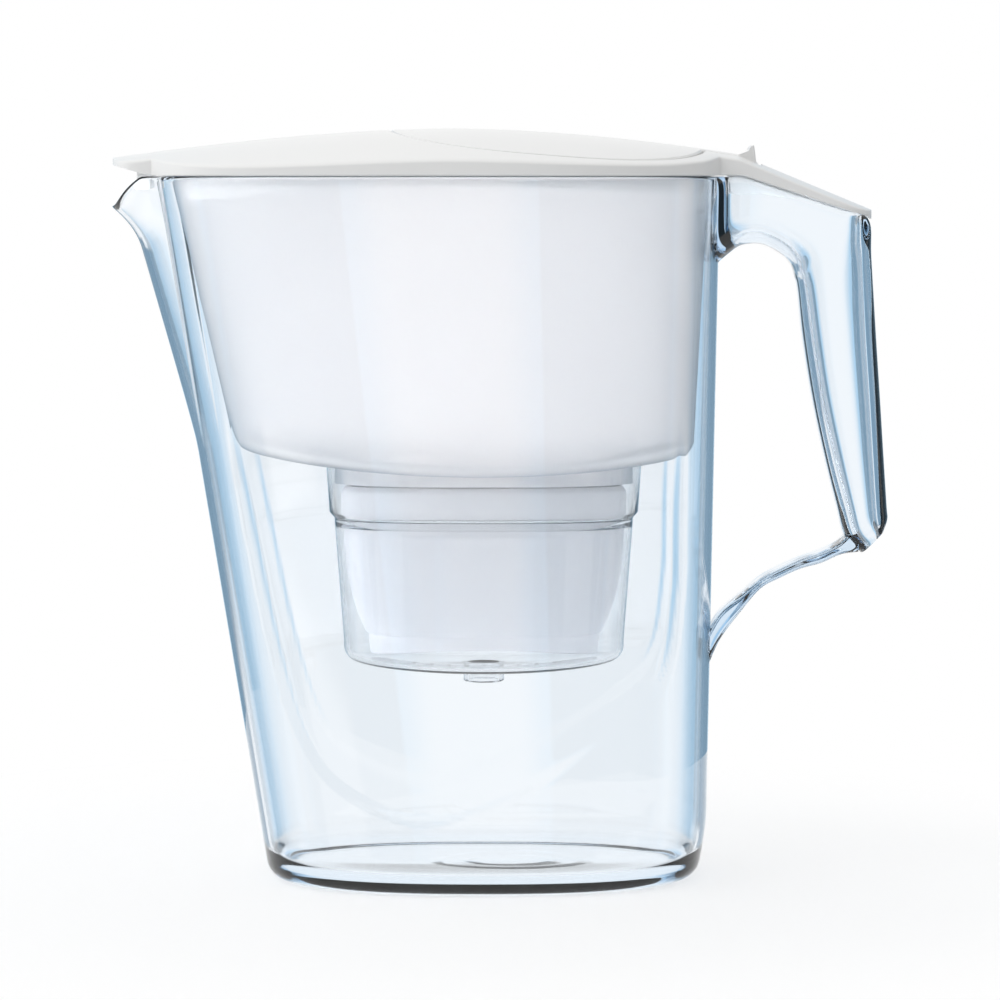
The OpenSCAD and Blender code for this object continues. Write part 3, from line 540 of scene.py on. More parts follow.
# %% Funnel sizes and rings
HOPPER_FRONT, HOPPER_REAR, HOPPER_DEPTH = 107.2, 77.2, 94.0
HOPPER_FLOOR_FRONT, HOPPER_FLOOR_REAR, HOPPER_FLOOR_DEPTH = 85.6, 72.2, 88.0
HOPPER_Z, HOPPER_RISE, HOPPER_WALL, FLANGE_T = 140.4, 8.2, 2.0, 1.3
LID_WALL, LID_OVER = 2.0, 0.8
FLANGE_Z = RIM_Z + SEAT_GAP
FLANGE_INSET = LID_WALL + SLIDE_GAP + 0.2 - LID_OVER
CASE_RIM, CASE_TOP, POD_SLIM, SPIGOT_GAP = 49.1, 136.0, 20.5, 0.6
THROAT_HALF, SPIGOT_Z, SPIGOT_WALL = CASE_RIM + 0.9, CASE_TOP + SPIGOT_GAP, 1.3
pod_turn = np.radians(np.arange(0, 360, 1.5))


def at_height(x, y, z):
    """Points at one height from their x and y."""
    return np.stack([x, y, np.full_like(x, z)], axis=-1)


def level_ring(front, rear, half, z):
    return at_height(*oval(front, rear, half, pod_turn), z)


def pod_ring(half, z):
    return level_ring(-half, half, half - POD_SLIM, z)


def funnel_floor(x):
    return HOPPER_Z + HOPPER_RISE * (x / HOPPER_FLOOR_FRONT) ** 2


def on_floor(ring, lift=0.0):
    ring = ring.copy()
    ring[:, 2] = funnel_floor(ring[:, 0]) + lift
    return ring


def tank_ring(share, inset):
    """The oval of the funnel's wall at a share of its height, drawn in by inset, at height 0."""
    return level_ring(-mix(HOPPER_FLOOR_FRONT, HOPPER_FRONT, share) + inset,
                      mix(HOPPER_FLOOR_REAR, HOPPER_REAR, share) - inset,
                      mix(HOPPER_FLOOR_DEPTH, HOPPER_DEPTH, share) / 2 - inset, 0)


def hopper_ring(share, inset, lift=0.0):
    """A ring of the funnel's wall, which follows the rise of the floor."""
    ring = tank_ring(share, inset)
    ring[:, 2] = mix(funnel_floor(ring[:, 0]) + lift, FLANGE_Z, share)
    return ring


def flange_ring(inset, z):
    inset = FLANGE_INSET + inset
    return level_ring(-RIM_FRONT + inset, RIM_REAR - inset, RIM_DEPTH / 2 - inset, z)


CORNER_R, CORNER_SHARE = 4.5, 0.045
corner = [(CORNER_SHARE * (1 - math.cos(a)), CORNER_R * (1 - math.sin(a)))
          for a in np.radians(np.arange(0, 91, 10))]
throat_out, throat_in = pod_ring(THROAT_HALF + SPIGOT_WALL, SPIGOT_Z), pod_ring(THROAT_HALF, SPIGOT_Z)
profile = [throat_in, throat_out, on_floor(throat_out)]
profile += [on_floor(mix(throat_out, hopper_ring(0, CORNER_R), s)) for s in (0.25, 0.5, 0.75)]
profile += [hopper_ring(share, inset) for share, inset in corner]
profile += [hopper_ring(s, 0) for s in np.linspace(0.1, 0.99, 12)]
profile += [flange_ring(inset, FLANGE_Z + rise) for inset, rise in (
    (1.5, 0), (0.3, 0), (0, 0.3), (0, FLANGE_T - 0.3), (0.3, FLANGE_T))]
profile += [tank_ring(1, HOPPER_WALL - drop) + [0, 0, FLANGE_Z + FLANGE_T + drop - 0.5] for drop in (0.5, 0)]
profile += [hopper_ring(s, HOPPER_WALL, HOPPER_WALL) for s in np.linspace(0.94, 0.1, 12)]
profile += [hopper_ring(share, HOPPER_WALL + inset, HOPPER_WALL) for share, inset in corner[::-1]]
profile += [on_floor(mix(hopper_ring(0, HOPPER_WALL + CORNER_R), throat_in, s), HOPPER_WALL)
            for s in (0.25, 0.5, 0.75, 1.0)]
funnel = ring_object("milky_funnel", profile, band=True)
finish_piece(funnel, "funnel_unit", ["funnel"], milky_san)

# %% [markdown]
# ## The filter housing
# The housing is a clear oval cup under the funnel: a wider collar, a ledge that carries the cartridge, the
# cup itself and a short outlet nozzle. Its profile is again one closed loop, and near the nozzle the rings
# change from the oval to a circle.

# %% Filter housing
CUP_FOOT, CUP_TOP, COLLAR_FOOT, COLLAR_TOP = 48.3, 51.5, 53.2, 54.3
CUP_Z, LEDGE_Z, CUP_WALL, CASE_NECK = 72.0, 124.5, 1.6, 48.3
NOZZLE_R, NOZZLE_BORE_R, NOZZLE_LEN = 7.0, 5.4, 5.0
CUP_CORNER_R, CUP_BOW = 4.5, 3.0


def nozzle_ring(radius, z):
    return at_height(radius * np.cos(pod_turn), radius * np.sin(pod_turn), z)


def collar_ring(half):
    return on_floor(pod_ring(half, 0), -SLIDE_GAP)


def bowed(ring):
    """A ring of the cup's floor, which hangs lowest in its middle."""
    ring = ring.copy()
    ring[:, 2] += CUP_BOW * (ring[:, 0] / CUP_FOOT) ** 2
    return ring


cup_arc = [(1 - math.cos(a), 1 - math.sin(a)) for a in np.radians(np.arange(0, 91, 10))]
inner_r = CUP_CORNER_R - CUP_WALL
collar_foot_z = LEDGE_Z + 1.5
profile = [nozzle_ring(radius, CUP_Z - drop) for radius, drop in (
    (NOZZLE_BORE_R, NOZZLE_LEN - 0.4), (NOZZLE_BORE_R + 0.4, NOZZLE_LEN), (NOZZLE_R - 0.4, NOZZLE_LEN),
    (NOZZLE_R, NOZZLE_LEN - 0.4), (NOZZLE_R, 0.5), (NOZZLE_R + 0.5, 0))]
profile += [bowed(mix(nozzle_ring(NOZZLE_R, CUP_Z), pod_ring(CUP_FOOT - CUP_CORNER_R, CUP_Z), s))
            for s in (0.25, 0.5, 0.75)]
profile += [bowed(pod_ring(CUP_FOOT - CUP_CORNER_R * inset, CUP_Z + CUP_CORNER_R * rise))
            for rise, inset in cup_arc]
cup_side_z = CUP_Z + CUP_CORNER_R + CUP_BOW + 2
profile += [pod_ring(mix(CUP_FOOT, CUP_TOP, s), mix(cup_side_z, LEDGE_Z - 0.5, s))
            for s in np.linspace(0, 1, 10)]
profile += [pod_ring(CUP_TOP + 0.3, LEDGE_Z - 0.1), pod_ring(COLLAR_FOOT - 0.3, collar_foot_z - 0.3),
            pod_ring(COLLAR_FOOT, collar_foot_z + 0.3), collar_ring(COLLAR_TOP),
            collar_ring(COLLAR_TOP - CUP_WALL)]
ledge_in = CASE_NECK + SLIDE_GAP
profile += [pod_ring(half, LEDGE_Z + rise) for half, rise in (
    (COLLAR_FOOT - CUP_WALL, 0.4), (COLLAR_FOOT - CUP_WALL - 0.4, 0), (ledge_in + 0.3, 0), (ledge_in, -0.3),
    (ledge_in, -1.3), (CUP_TOP - CUP_WALL, -3.2))]
profile += [pod_ring(mix(CUP_TOP, CUP_FOOT, s) - CUP_WALL, mix(LEDGE_Z - 3.2, cup_side_z, s))
            for s in np.linspace(0.1, 1, 9)]
profile += [bowed(pod_ring(CUP_FOOT - CUP_WALL - inner_r * inset, CUP_Z + CUP_WALL + inner_r * rise))
            for rise, inset in cup_arc[::-1]]
inner_floor = pod_ring(CUP_FOOT - CUP_CORNER_R, CUP_Z + CUP_WALL)
profile += [bowed(mix(inner_floor, nozzle_ring(NOZZLE_BORE_R + 0.4, CUP_Z + CUP_WALL), s))
            for s in (0.25, 0.5, 0.75, 1)]
profile += [nozzle_ring(NOZZLE_BORE_R, CUP_Z + CUP_WALL - 0.4)]
housing = ring_object("clear_housing", profile, band=True)
finish_piece(housing, "funnel_unit", ["filter_housing"], grey_clear_san)

# %% [markdown]
# ## The cartridge
# The cartridge is an oval polypropylene case that swells from a stepped foot to its neck, with a flat face
# on each side. A smooth limit on the oval's depth gives that flat face without a hard edge.
# The cap has a pull loop and two inlet domes, which show as soft shapes through the funnel.

# %% Cartridge case
CASE_WAIST, CASE_FOOT, CASE_STEP_Z, CASE_Z = 40.8, 39.2, 84.3, 77.0
CASE_ARCH, CASE_WALL, SEAL_T, SEAL_W, SLOT_W, CASE_CURVE = 2.6, 1.2, 1.2, 1.2, 1.4, 2.4
WAIST_Z, NECK_Z = CASE_STEP_Z + 0.6, 122.0
NECK_DEPTH = CASE_NECK - POD_SLIM
RIM_FOOT_Z = LEDGE_Z + SEAT_GAP + SEAL_T + 0.1
FLAT_SHARE, FLAT_END_Z, FLAT_POWER = 0.875, 119.0, 16.0


def case_half(z):
    if z >= NECK_Z:
        return CASE_NECK
    if z >= WAIST_Z:
        return mix(CASE_NECK, CASE_WAIST, ((NECK_Z - z) / (NECK_Z - WAIST_Z)) ** CASE_CURVE)
    return mix(CASE_FOOT, CASE_FOOT + 0.6, (z - CASE_Z) / (CASE_STEP_Z - CASE_Z))


def case_ring(half, z, inset=0.0, arch=0.0):
    """A ring of the case, whose two long sides are flat below the neck."""
    depth = half - POD_SLIM if half >= CASE_NECK else NECK_DEPTH - 0.6 * (CASE_NECK - half)
    x, y = oval(-half + inset, half - inset, depth - inset, pod_turn)
    flat = (depth - inset) * FLAT_SHARE
    limited = np.maximum(np.abs(y), 1e-6) ** -FLAT_POWER + flat ** -FLAT_POWER
    limited = np.sign(y) * limited ** (-1 / FLAT_POWER)
    share = min(1.0, max(0.0, (FLAT_END_Z + 3 - z) / 3))
    return np.stack([x, mix(y, limited, share), z + arch * (1 - (x / half) ** 2)], axis=-1)


rings = [case_ring(CASE_FOOT, CASE_Z, 1.2, CASE_ARCH), case_ring(CASE_FOOT, CASE_Z + 0.3, 0.3, CASE_ARCH),
         case_ring(CASE_FOOT, CASE_Z + 1, 0, CASE_ARCH * 0.6)]
rings += [case_ring(case_half(z), z) for z in (CASE_Z + 4, CASE_STEP_Z - 0.4, CASE_STEP_Z - 0.1)]
rings += [case_ring(case_half(z), z) for z in np.arange(WAIST_Z, NECK_Z + 0.1, 1.5)]
rings += [case_ring(half, z) for half, z in (
    (CASE_NECK, RIM_FOOT_Z - 0.2), (CASE_RIM - 0.3, RIM_FOOT_Z), (CASE_RIM, RIM_FOOT_Z + 0.3),
    (CASE_RIM, CASE_TOP - 2.2), (CASE_RIM - 0.4, CASE_TOP - 1), (CASE_RIM - 1.4, CASE_TOP),
    (CASE_RIM - 1.4 - CASE_WALL, CASE_TOP))]
rings += [case_ring(CASE_NECK, CASE_TOP - 3.5, CASE_WALL)]
rings += [case_ring(case_half(z), z, CASE_WALL) for z in np.arange(NECK_Z, WAIST_Z, -3.0)]
rings += [case_ring(CASE_FOOT, CASE_Z + CASE_WALL + 0.8, CASE_WALL, CASE_ARCH)]
case = ring_object("cartridge_shell", rings)
for i in range(9):
    x = (i - 4) * 6.0
    slot = block("slot", (x - SLOT_W / 2, -13, CASE_Z - 2), (x + SLOT_W / 2, 13, CASE_Z + 6))
    combine(case, slot, "DIFFERENCE")
finish_piece(case, "cartridge", ["cartridge_case"], cartridge_pp)

# %% [markdown]
# The felts, the screen and the two beds fill the case, so they follow its inner wall, flat faces included.

# %% Filter media
MEDIA_INSET = CASE_WALL + 0.2
for node, finish, slot in (("outlet_felt", felt, "felt"), ("resin_bed", resin, "resin"),
                           ("divider_screen", felt, "felt"), ("carbon_bed", carbon, "carbon"),
                           ("inlet_felt", felt, "felt")):
    low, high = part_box(node)
    levels = [(mix(low[2], high[2], share) / MM, MEDIA_INSET + extra) for share, extra in (
        (0, 0.4), (0.1, 0), (0.5, 0), (0.9, 0), (1, 0.4))]
    layer = ring_object(node + "_fill", [case_ring(case_half(z), z, inset) for z, inset in levels])
    finish_piece(layer, "cartridge", [node], finish)

# %% Cartridge cap
CAP_RISE, LOOP_W, LOOP_H, LOOP_T, LOOP_D = 5.0, 18.4, 13.0, 2.0, 5.0
DOME_R, DOME_H, DOME_X = 7.6, 8.6, 17.8
cap_low, cap_top, cap_rim = CASE_TOP + SEAT_GAP, CASE_TOP + CAP_RISE, CASE_RIM - 1.8


def cap_ring(half, z):
    return level_ring(-half, half, NECK_DEPTH - 0.6 * (CASE_NECK - half), z)


cap_profile = [(13, cap_top - 1.6), (7, cap_top - 2.4), (2.4, cap_low), (0.3, cap_low), (0, cap_low + 0.3),
               (0.1, cap_low + 1.2), (0.6, cap_low + 1.7), (3, cap_top - 1.8), (6, cap_top - 0.7),
               (9, cap_top - 0.15), (12, cap_top)]
cap = ring_object("cartridge_lid", [cap_ring(cap_rim - inset, z) for inset, z in cap_profile])

loop_half, loop_rise = LOOP_W / 2 - LOOP_T / 2, LOOP_H - LOOP_W / 2
arch = [(-loop_half, -1.5), (-loop_half, loop_rise * 0.5)]
arch += [(-loop_half * math.cos(a), loop_rise + loop_half * math.sin(a))
         for a in np.radians(np.arange(0, 181, 7.5))]
arch += [(loop_half, loop_rise * 0.5), (loop_half, -1.5)]
arch = np.array(arch)
tangent = np.gradient(arch, axis=0)
normal = np.stack([-tangent[:, 1], tangent[:, 0]], axis=-1) / np.linalg.norm(tangent, axis=1)[:, None]
band_turn = np.radians(np.arange(0, 360, 15))
across = signed_power(np.cos(band_turn), 0.4) * LOOP_D / 2
out = signed_power(np.sin(band_turn), 0.4) * LOOP_T / 2
loop_rings = [np.stack([p[0] + n[0] * out, across, cap_top + p[1] + n[1] * out], axis=-1)
              for p, n in zip(arch, normal)]
combine(cap, ring_object("pull_loop", loop_rings))
for side in (-1, 1):
    arc = np.radians(np.arange(0, 86, 5))
    shape = [(DOME_R, -1.5)] + [(DOME_R * math.cos(a), DOME_H * math.sin(a)) for a in arc]
    shape += [((DOME_R - 1.2) * math.cos(a), (DOME_H - 1.2) * math.sin(a)) for a in arc[::-1]]
    shape += [(DOME_R - 1.2, -1)]
    dome_rings = [at_height(side * DOME_X + r * np.cos(band_turn), r * np.sin(band_turn), cap_top + z)
                  for r, z in shape]
    combine(cap, ring_object("dome", dome_rings))
    for i in (-1, 0, 1):
        x = side * DOME_X + i * 3.6
        slot = block("slot", (x - SLOT_W / 2, -4.5, cap_top + 2), (x + SLOT_W / 2, 4.5, cap_top + DOME_H + 5))
        combine(cap, slot, "DIFFERENCE")
finish_piece(cap, "cartridge", ["cartridge_cap"], cartridge_pp)

# %% Cartridge seal
seal_in, seal_low = CASE_NECK + 0.05, LEDGE_Z + SEAT_GAP
seal_profile = [(seal_in + SEAL_W / 2 * (1 + math.cos(a)), seal_low + SEAL_T / 2 * (1 + math.sin(a)))
                for a in np.radians(np.arange(0, 360, 30))]
seal = ring_object("soft_seal", [pod_ring(half, z) for half, z in seal_profile], band=True)
finish_piece(seal, "cartridge", ["cartridge_seal"], seal_tpe)

# %% [markdown]
# ## The lid
# The lid is a white shell with a gently crowned top, a beak over the spout and a tail over the handle.
# Sections across the lid follow its outline, its crest line and its lower edge, and each has a small
# rounding between the side wall and the top, which is the bright line round the real lid.

# %% Lid sizes and outline
RIDGE_Z, RIDGE_X, RIDGE_FRONT_FALL, RIDGE_REAR_FALL, CROWN = 257.4, 11.6, 10.0, 7.8, 11.2
BEAK_REACH, BEAK_HALF, BEAK_SLOPE = 13.6, 18.0, 0.27
TAIL_REACH, TAIL_HALF, TAIL_TOP_SLOPE, TIP_LEN = 52.0, 15.0, 0.413, 15.0
lid_front, lid_rear, lid_half = -RIM_FRONT - LID_OVER, RIM_REAR + LID_OVER, RIM_DEPTH / 2 + LID_OVER
beak_x, tail_x = lid_front - BEAK_REACH + LID_OVER, RIM_REAR + TAIL_REACH
EDGE_R, FILLET = 0.9, 2.0


def round_end(half, share):
    return half * np.maximum(0, 1 - np.clip(share, 0, 1) ** 2.5) ** 0.4


def outline_half(x):
    """Half the lid's width at x, with a small fillet where the tail leaves the oval."""
    body = round_end(lid_half, np.abs(x - (lid_front + lid_rear) / 2) / ((lid_rear - lid_front) / 2))
    beak = np.where(x < 0, round_end(BEAK_HALF, (beak_x + TIP_LEN - x) / TIP_LEN), 0)
    tail = np.where(x > RIM_REAR - 6, round_end(TAIL_HALF, (x - tail_x + TIP_LEN) / TIP_LEN), 0)
    end = np.maximum(beak, tail)
    lift = np.maximum(0, FILLET - np.abs(body - end)) ** 2 / (4 * FILLET)
    return np.maximum(body, end) + lift


def oval_ridge(x):
    front = RIDGE_Z - RIDGE_FRONT_FALL * np.maximum(0, (-RIDGE_X - x) / (-RIDGE_X - beak_x)) ** 1.7
    rear = RIDGE_Z - RIDGE_REAR_FALL * np.maximum(0, (x + RIDGE_X) / (RIM_REAR + RIDGE_X)) ** 1.8
    return np.where(x < -RIDGE_X, front, rear)


TAIL_CREST_Z = float(oval_ridge(RIM_REAR + 6))


def ridge(x):
    return np.minimum(oval_ridge(x), TAIL_CREST_Z - TAIL_TOP_SLOPE * (x - RIM_REAR - 6))


def lid_under(x):
    return tail_under(x) + BEAK_SLOPE * np.maximum(0, lid_front + LID_OVER - x)


def lid_top(x, y):
    half = np.maximum(1, outline_half(x))
    return ridge(x) - CROWN * (half / lid_half) ** 1.3 * np.minimum(1, np.abs(y) / half) ** 1.8


print("Beak tip at x", round(beak_x, 1), "and tail tip at x", round(tail_x, 1))

# %% Lid blank
def lid_section(x, inset, drop):
    """A ring across the lid at x, drawn in by inset, with a rounded edge, run on below by drop."""
    half = float(outline_half(x)) - inset
    edge = min(EDGE_R, half / 3)
    low = float(lid_under(x)) - drop
    turns = np.radians(np.arange(0, 91, 18))
    top = float(lid_top(x, half)) - inset
    side = [(half - 0.4, low), (half, low + 0.4)]
    side += [(half - edge * (1 - math.cos(a)), top - edge * (1 - math.sin(a)) + 0.12 * math.sin(a))
             for a in turns[:-1]]
    crown_y = np.linspace(half - edge, 0, 26)
    crown = [(y, float(lid_top(x, y)) - inset) for y in crown_y]
    right = side + crown
    left = [(-y, z) for y, z in right[-2::-1]]
    return [(x, y, z) for y, z in right + left]


def lid_stations(front, rear):
    tip = TIP_LEN * (1 - np.sin(np.radians(np.arange(86, 0, -4.0))))
    middle, reach = (lid_front + lid_rear) / 2, (lid_rear - lid_front) / 2
    body = middle - reach * np.cos(np.radians(np.arange(20, 150, 2.5)))
    body = body[(body > front + TIP_LEN) & (body < RIM_REAR - 8)]
    tail = np.arange(RIM_REAR - 7, rear - TIP_LEN, 1.0)
    return np.concatenate([front + tip, body, tail, rear - tip[::-1]])


def lid_blank(name, inset, drop):
    stations = lid_stations(beak_x + inset, tail_x - inset)
    return ring_object(name, [lid_section(float(x), inset, drop) for x in stations])


lid = lid_blank("white_lid", 0, 0)
combine(lid, lid_blank("lid_inside", LID_WALL, 6), "DIFFERENCE")
print("Lid shell:", len(lid.data.polygons), "faces")

# %% [markdown]
# The fill flap lies in an egg-shaped opening with a neck to the hinge. One outline, grown by a gap, cuts the
# opening, and the same outline without the gap makes the flap. Both cutters widen at the top surface, which
# leaves a fine chamfer on each side of the seam, as a real tool has.

# %% Flap outline and cutter
FLAP_LEN, FLAP_HALF, FLAP_N, FLAP_GAP, FLAP_BACK = 53.3, 44.0, 2.3, 0.5, 9.5
HINGE_X, HINGE_Z, TRUNNION_R, HINGE_PLAY, BARREL_R = 3.5, 3.8, 1.6, 0.05, 2.1
NECK_HALF, EAR_T, TAB_H, TAB_LEN, TAB_BACK = 8.0, 2.6, 2.9, 6.3, 2.4
axis_x, axis_z = RIM_REAR + HINGE_X, RIM_Z + HINGE_Z
flap_rear, tab_x = axis_x - FLAP_BACK, axis_x + TAB_BACK
tab_end = tab_x + TAB_LEN
tab_tip = (tab_end - 1.3, float(ridge(tab_x)) + TAB_H)
neck_rear = tab_end + 0.8
swing_r = max(math.hypot(tab_tip[0] - axis_x, tab_tip[1] - axis_z), neck_rear - axis_x)
slot_rear = axis_x + swing_r + SLIDE_GAP


def flap_outline(grow, rear_end):
    """The flap's outline grown by grow: most of an oval, then its neck to rear_end."""
    first = math.asin(((NECK_HALF + grow) / (FLAP_HALF + grow)) ** (FLAP_N / 2))
    x, y = oval(flap_rear - 2 * FLAP_LEN - grow, flap_rear + 2 * grow, FLAP_HALF + grow,
                np.linspace(first, 2 * math.pi - first, 181), FLAP_N)
    half, r = NECK_HALF + grow, 0.8
    steps = np.radians(np.arange(0, 91, 22.5))
    corner_x = rear_end - r + r * np.sin(steps)
    corner_y = half - r + r * np.cos(steps)
    neck_x = np.concatenate([np.linspace(x[-1], rear_end - r, 8)[1:-1], corner_x, corner_x[::-1],
                             np.linspace(rear_end - r, x[0], 8)[1:-1]])
    neck_y = np.concatenate([np.full(6, -half), -corner_y, corner_y[::-1], np.full(6, half)])
    return np.concatenate([x, neck_x]), np.concatenate([y, neck_y])


def flap_prism(name, grow, rear_end, widen):
    """A prism over the outline that widens by widen towards the lid's top surface."""
    rings = []
    for extra, below in ((0, None), (0, 0.45), (widen, 0.0), (widen * 1.6, -0.3), (widen * 1.6, -30)):
        x, y = flap_outline(grow + extra, rear_end + extra)
        z = np.full_like(x, RIM_Z - 20) if below is None else lid_top(x, y) - below
        rings.append(np.stack([x, y, z], axis=-1))
    return ring_object(name, rings)


combine(lid, flap_prism("flap_opening", FLAP_GAP, slot_rear, 0.35), "DIFFERENCE")
print("Flap opening from x", round(flap_rear - 2 * FLAP_LEN, 1), "to", round(slot_rear, 1))

# %% [markdown]
# Under the shell, an inner skirt drops into the funnel, a guard closes the spout, two cheeks locate the tail
# in the hollow arm, and two ears carry the flap's trunnions.

# %% Lid's inner parts
SKIRT_T, SKIRT_MID, SKIRT_ARCH, GUARD_H = 1.5, 3.5, 4.6, 4.5
skirt_out, web_z = HOPPER_WALL + 1, FLANGE_Z + FLANGE_T + SEAT_GAP
skirt_share = 1 - (SKIRT_MID + SKIRT_ARCH + 2) / (FLANGE_Z - HOPPER_Z)


def skirt_ring(inset, share):
    """A ring of the inner skirt, from 0 at its lower edge to 1 at the web."""
    ring = tank_ring(mix(skirt_share, 1, share), inset)
    low = RIM_Z - SKIRT_MID - SKIRT_ARCH * ((ring[:, 0] + 10) / 90) ** 2
    ring[:, 2] = mix(low, web_z, share)
    return ring


thick, web_in = skirt_out + SKIRT_T, LID_OVER - 1
web = [level_ring(-RIM_FRONT - web_in, RIM_REAR + web_in, RIM_DEPTH / 2 + web_in, z)
       for z in (web_z, web_z + 1.5)]
skirt = ring_object("inner_skirt", [
    skirt_ring(skirt_out + 0.3, 0), skirt_ring(skirt_out, 0.06), skirt_ring(skirt_out, 0.5),
    skirt_ring(skirt_out, 1), web[0], web[1],
    level_ring(-HOPPER_FRONT + thick, HOPPER_REAR - thick, HOPPER_DEPTH / 2 - thick, web_z + 1.5),
    skirt_ring(thick, 0.5), skirt_ring(thick, 0.06), skirt_ring(thick - 0.3, 0)], band=True)
combine(lid, skirt)
guard = block("guard", (-RIM_FRONT - 4.8, -10, RIM_Z - GUARD_H), (-RIM_FRONT + 0.4, 10, RIM_Z + 4.5), 0.6)
combine(lid, guard)
ear_half, cheek_half = NECK_HALF + FLAP_GAP, GRIP_HALF - GRIP_WALL - SLIDE_GAP


def upright_plate(name, outline, y_low, y_high):
    """A plate that stands along the jug: an outline in x and z, between two values of y."""
    return ring_object(name, [[(x, y, z) for x, z in outline] for y in (y_low, y_high)])


cheek_front, cheek_rear = RIM_REAR + 3, RIM_REAR + 30
cheek_end = float(lid_under(cheek_rear))
cheek = [(cheek_front, LID_BOTTOM + 3), (cheek_front, RIM_Z - 5), (cheek_front + 1, RIM_Z - 6),
         (cheek_front + 11, RIM_Z - 6), (cheek_rear, cheek_end - 1.6), (cheek_rear, cheek_end + 3)]
for side in (-1, 1):
    middle = side * (cheek_half - 0.7)
    combine(lid, upright_plate("cheek", cheek, middle - 0.7, middle + 0.7))
    middle = side * (ear_half + EAR_T / 2)
    combine(lid, block("ear", (axis_x - 3.6, middle - EAR_T / 2, axis_z - 2.8),
                       (axis_x + 3.6, middle + EAR_T / 2, axis_z + 1.4), 0.4))


def rod(name, radius, half):
    """A round bar on the hinge axis."""
    circle = np.radians(np.arange(0, 360, 7.5))
    profile = [(radius - 0.2, -half), (radius, -half + 0.2), (radius, half - 0.2), (radius - 0.2, half)]
    return ring_object(name, [np.stack([axis_x + r * np.cos(circle), np.full_like(circle, y),
                                        axis_z + r * np.sin(circle)], axis=-1) for r, y in profile])


combine(lid, rod("bore", TRUNNION_R + HINGE_PLAY, ear_half + EAR_T + 0.4), "DIFFERENCE")
finish_piece(lid, "lid_unit", ["lid"], white_abs, 30)

# %% [markdown]
# ## The fill flap
# The flap is cut from the same blank as the lid, so its surface runs on without a step. Its neck carries a
# barrel with two trunnions, and a thumb tab with a hollow front face stands behind it.

# %% Fill flap
flap = lid_blank("fill_flap_shell", 0, 0)
combine(flap, lid_blank("flap_inside", LID_WALL, 6), "DIFFERENCE")
combine(flap, flap_prism("flap_shape", 0, neck_rear, -0.3), "INTERSECT")
combine(flap, rod("barrel", BARREL_R, NECK_HALF))
combine(flap, rod("trunnions", TRUNNION_R, ear_half + EAR_T))
top_z, foot_z = float(ridge(tab_x)), float(ridge(tab_end)) - 1
tip_x, tip_z = tab_tip
front_face = smooth_line([(tab_x, top_z - 0.2), (mix(tab_x, tip_x, 0.45), top_z + 0.15 * TAB_H),
                          (mix(tab_x, tip_x, 0.78), top_z + 0.5 * TAB_H), (tip_x - 0.5, tip_z - 0.1)], 5)
rear_face = smooth_line([(tip_x, tip_z), (tip_x + 0.5, tip_z - 0.5), (tab_end, foot_z)], 4)
tab = [(tab_x, top_z - 1.2)] + [tuple(p) for p in front_face] + [tuple(p) for p in rear_face]
tab_half = NECK_HALF - 1
tab_piece = ring_object("tab", [[(mix(x, tab_end - 3, draw), y, mix(z, top_z, draw)) for x, z in tab]
                                for y, draw in ((-tab_half, 0.12), (-tab_half + 0.5, 0), (tab_half - 0.5, 0),
                                                (tab_half, 0.12))])
combine(flap, tab_piece)
finish_piece(flap, "flap", ["fill_flap"], white_abs, 30)

# %% [markdown]
# ## The studio
# Clear plastic shows only what stands round it. Photographers put a white sheet behind it and dark cards
# beside the sheet, so that the edges, which bend light sideways, turn dark and draw the shape.
# Here the world does that on each of the four sides: a white middle, a pale-blue fall to the sheet's edge,
# and then a navy card. Overhead and low down it is white. A mirrored ray sees at least half light, and a ray
# that has gone through many walls sees white. Each row below is one soft step between two angles in degrees.

# %% Sheets and cards
world = bpy.data.worlds.new("studio")
bpy.context.scene.world = world
world.use_nodes = True
tree = world.node_tree
tree.nodes.clear()
place = add(tree, "ShaderNodeTexCoord")
path = add(tree, "ShaderNodeLightPath")
axes = add(tree, "ShaderNodeSeparateXYZ", {}, {}, {"Vector": place.outputs["Generated"]})
SIDE_STEP, MIDDLE_HALF, SHEET_HALF, CARD_EDGE = 90.0, 5.0, 14.0, 1.5
MIRROR_LEVEL, DEEP_PATH = 0.5, 5.5
azimuth = add(tree, "ShaderNodeMath", {"operation": "ARCTAN2"}, {},
              {0: axes.outputs["X"], 1: axes.outputs["Y"]})
aside = add(tree, "ShaderNodeMath", {"operation": "PINGPONG"}, {1: math.radians(SIDE_STEP / 2)},
            {0: azimuth.outputs["Value"]})
height = add(tree, "ShaderNodeMath", {"operation": "ARCSINE"}, {}, {0: axes.outputs["Z"]})
parts = {}
for name, angle, low, high, at_low in (
        ("sheet", aside, SHEET_HALF, SHEET_HALF + CARD_EDGE, 1),
        ("middle", aside, MIDDLE_HALF, SHEET_HALF, 1), ("corner", aside, 30, 34, 0),
        ("level", height, 25, 28, 1), ("overhead", height, 30, 34, 0),
        ("low", height, -13, -10, 1), ("steep", height, -19, -16, 1)):
    step = add(tree, "ShaderNodeMapRange", {"interpolation_type": "SMOOTHSTEP", "label": name},
               {"From Min": math.radians(low), "From Max": math.radians(high),
                "To Min": at_low, "To Max": 1 - at_low}, {"Value": angle.outputs["Value"]})
    parts[name] = step.outputs["Result"]
for name, operation, ray, number in (("deep", "GREATER_THAN", "Transmission Depth", DEEP_PATH),
                                     ("mirrored", "MULTIPLY", "Is Glossy Ray", MIRROR_LEVEL)):
    node = add(tree, "ShaderNodeMath", {"operation": operation}, {1: number}, {0: path.outputs[ray]})
    parts[name] = node.outputs["Value"]
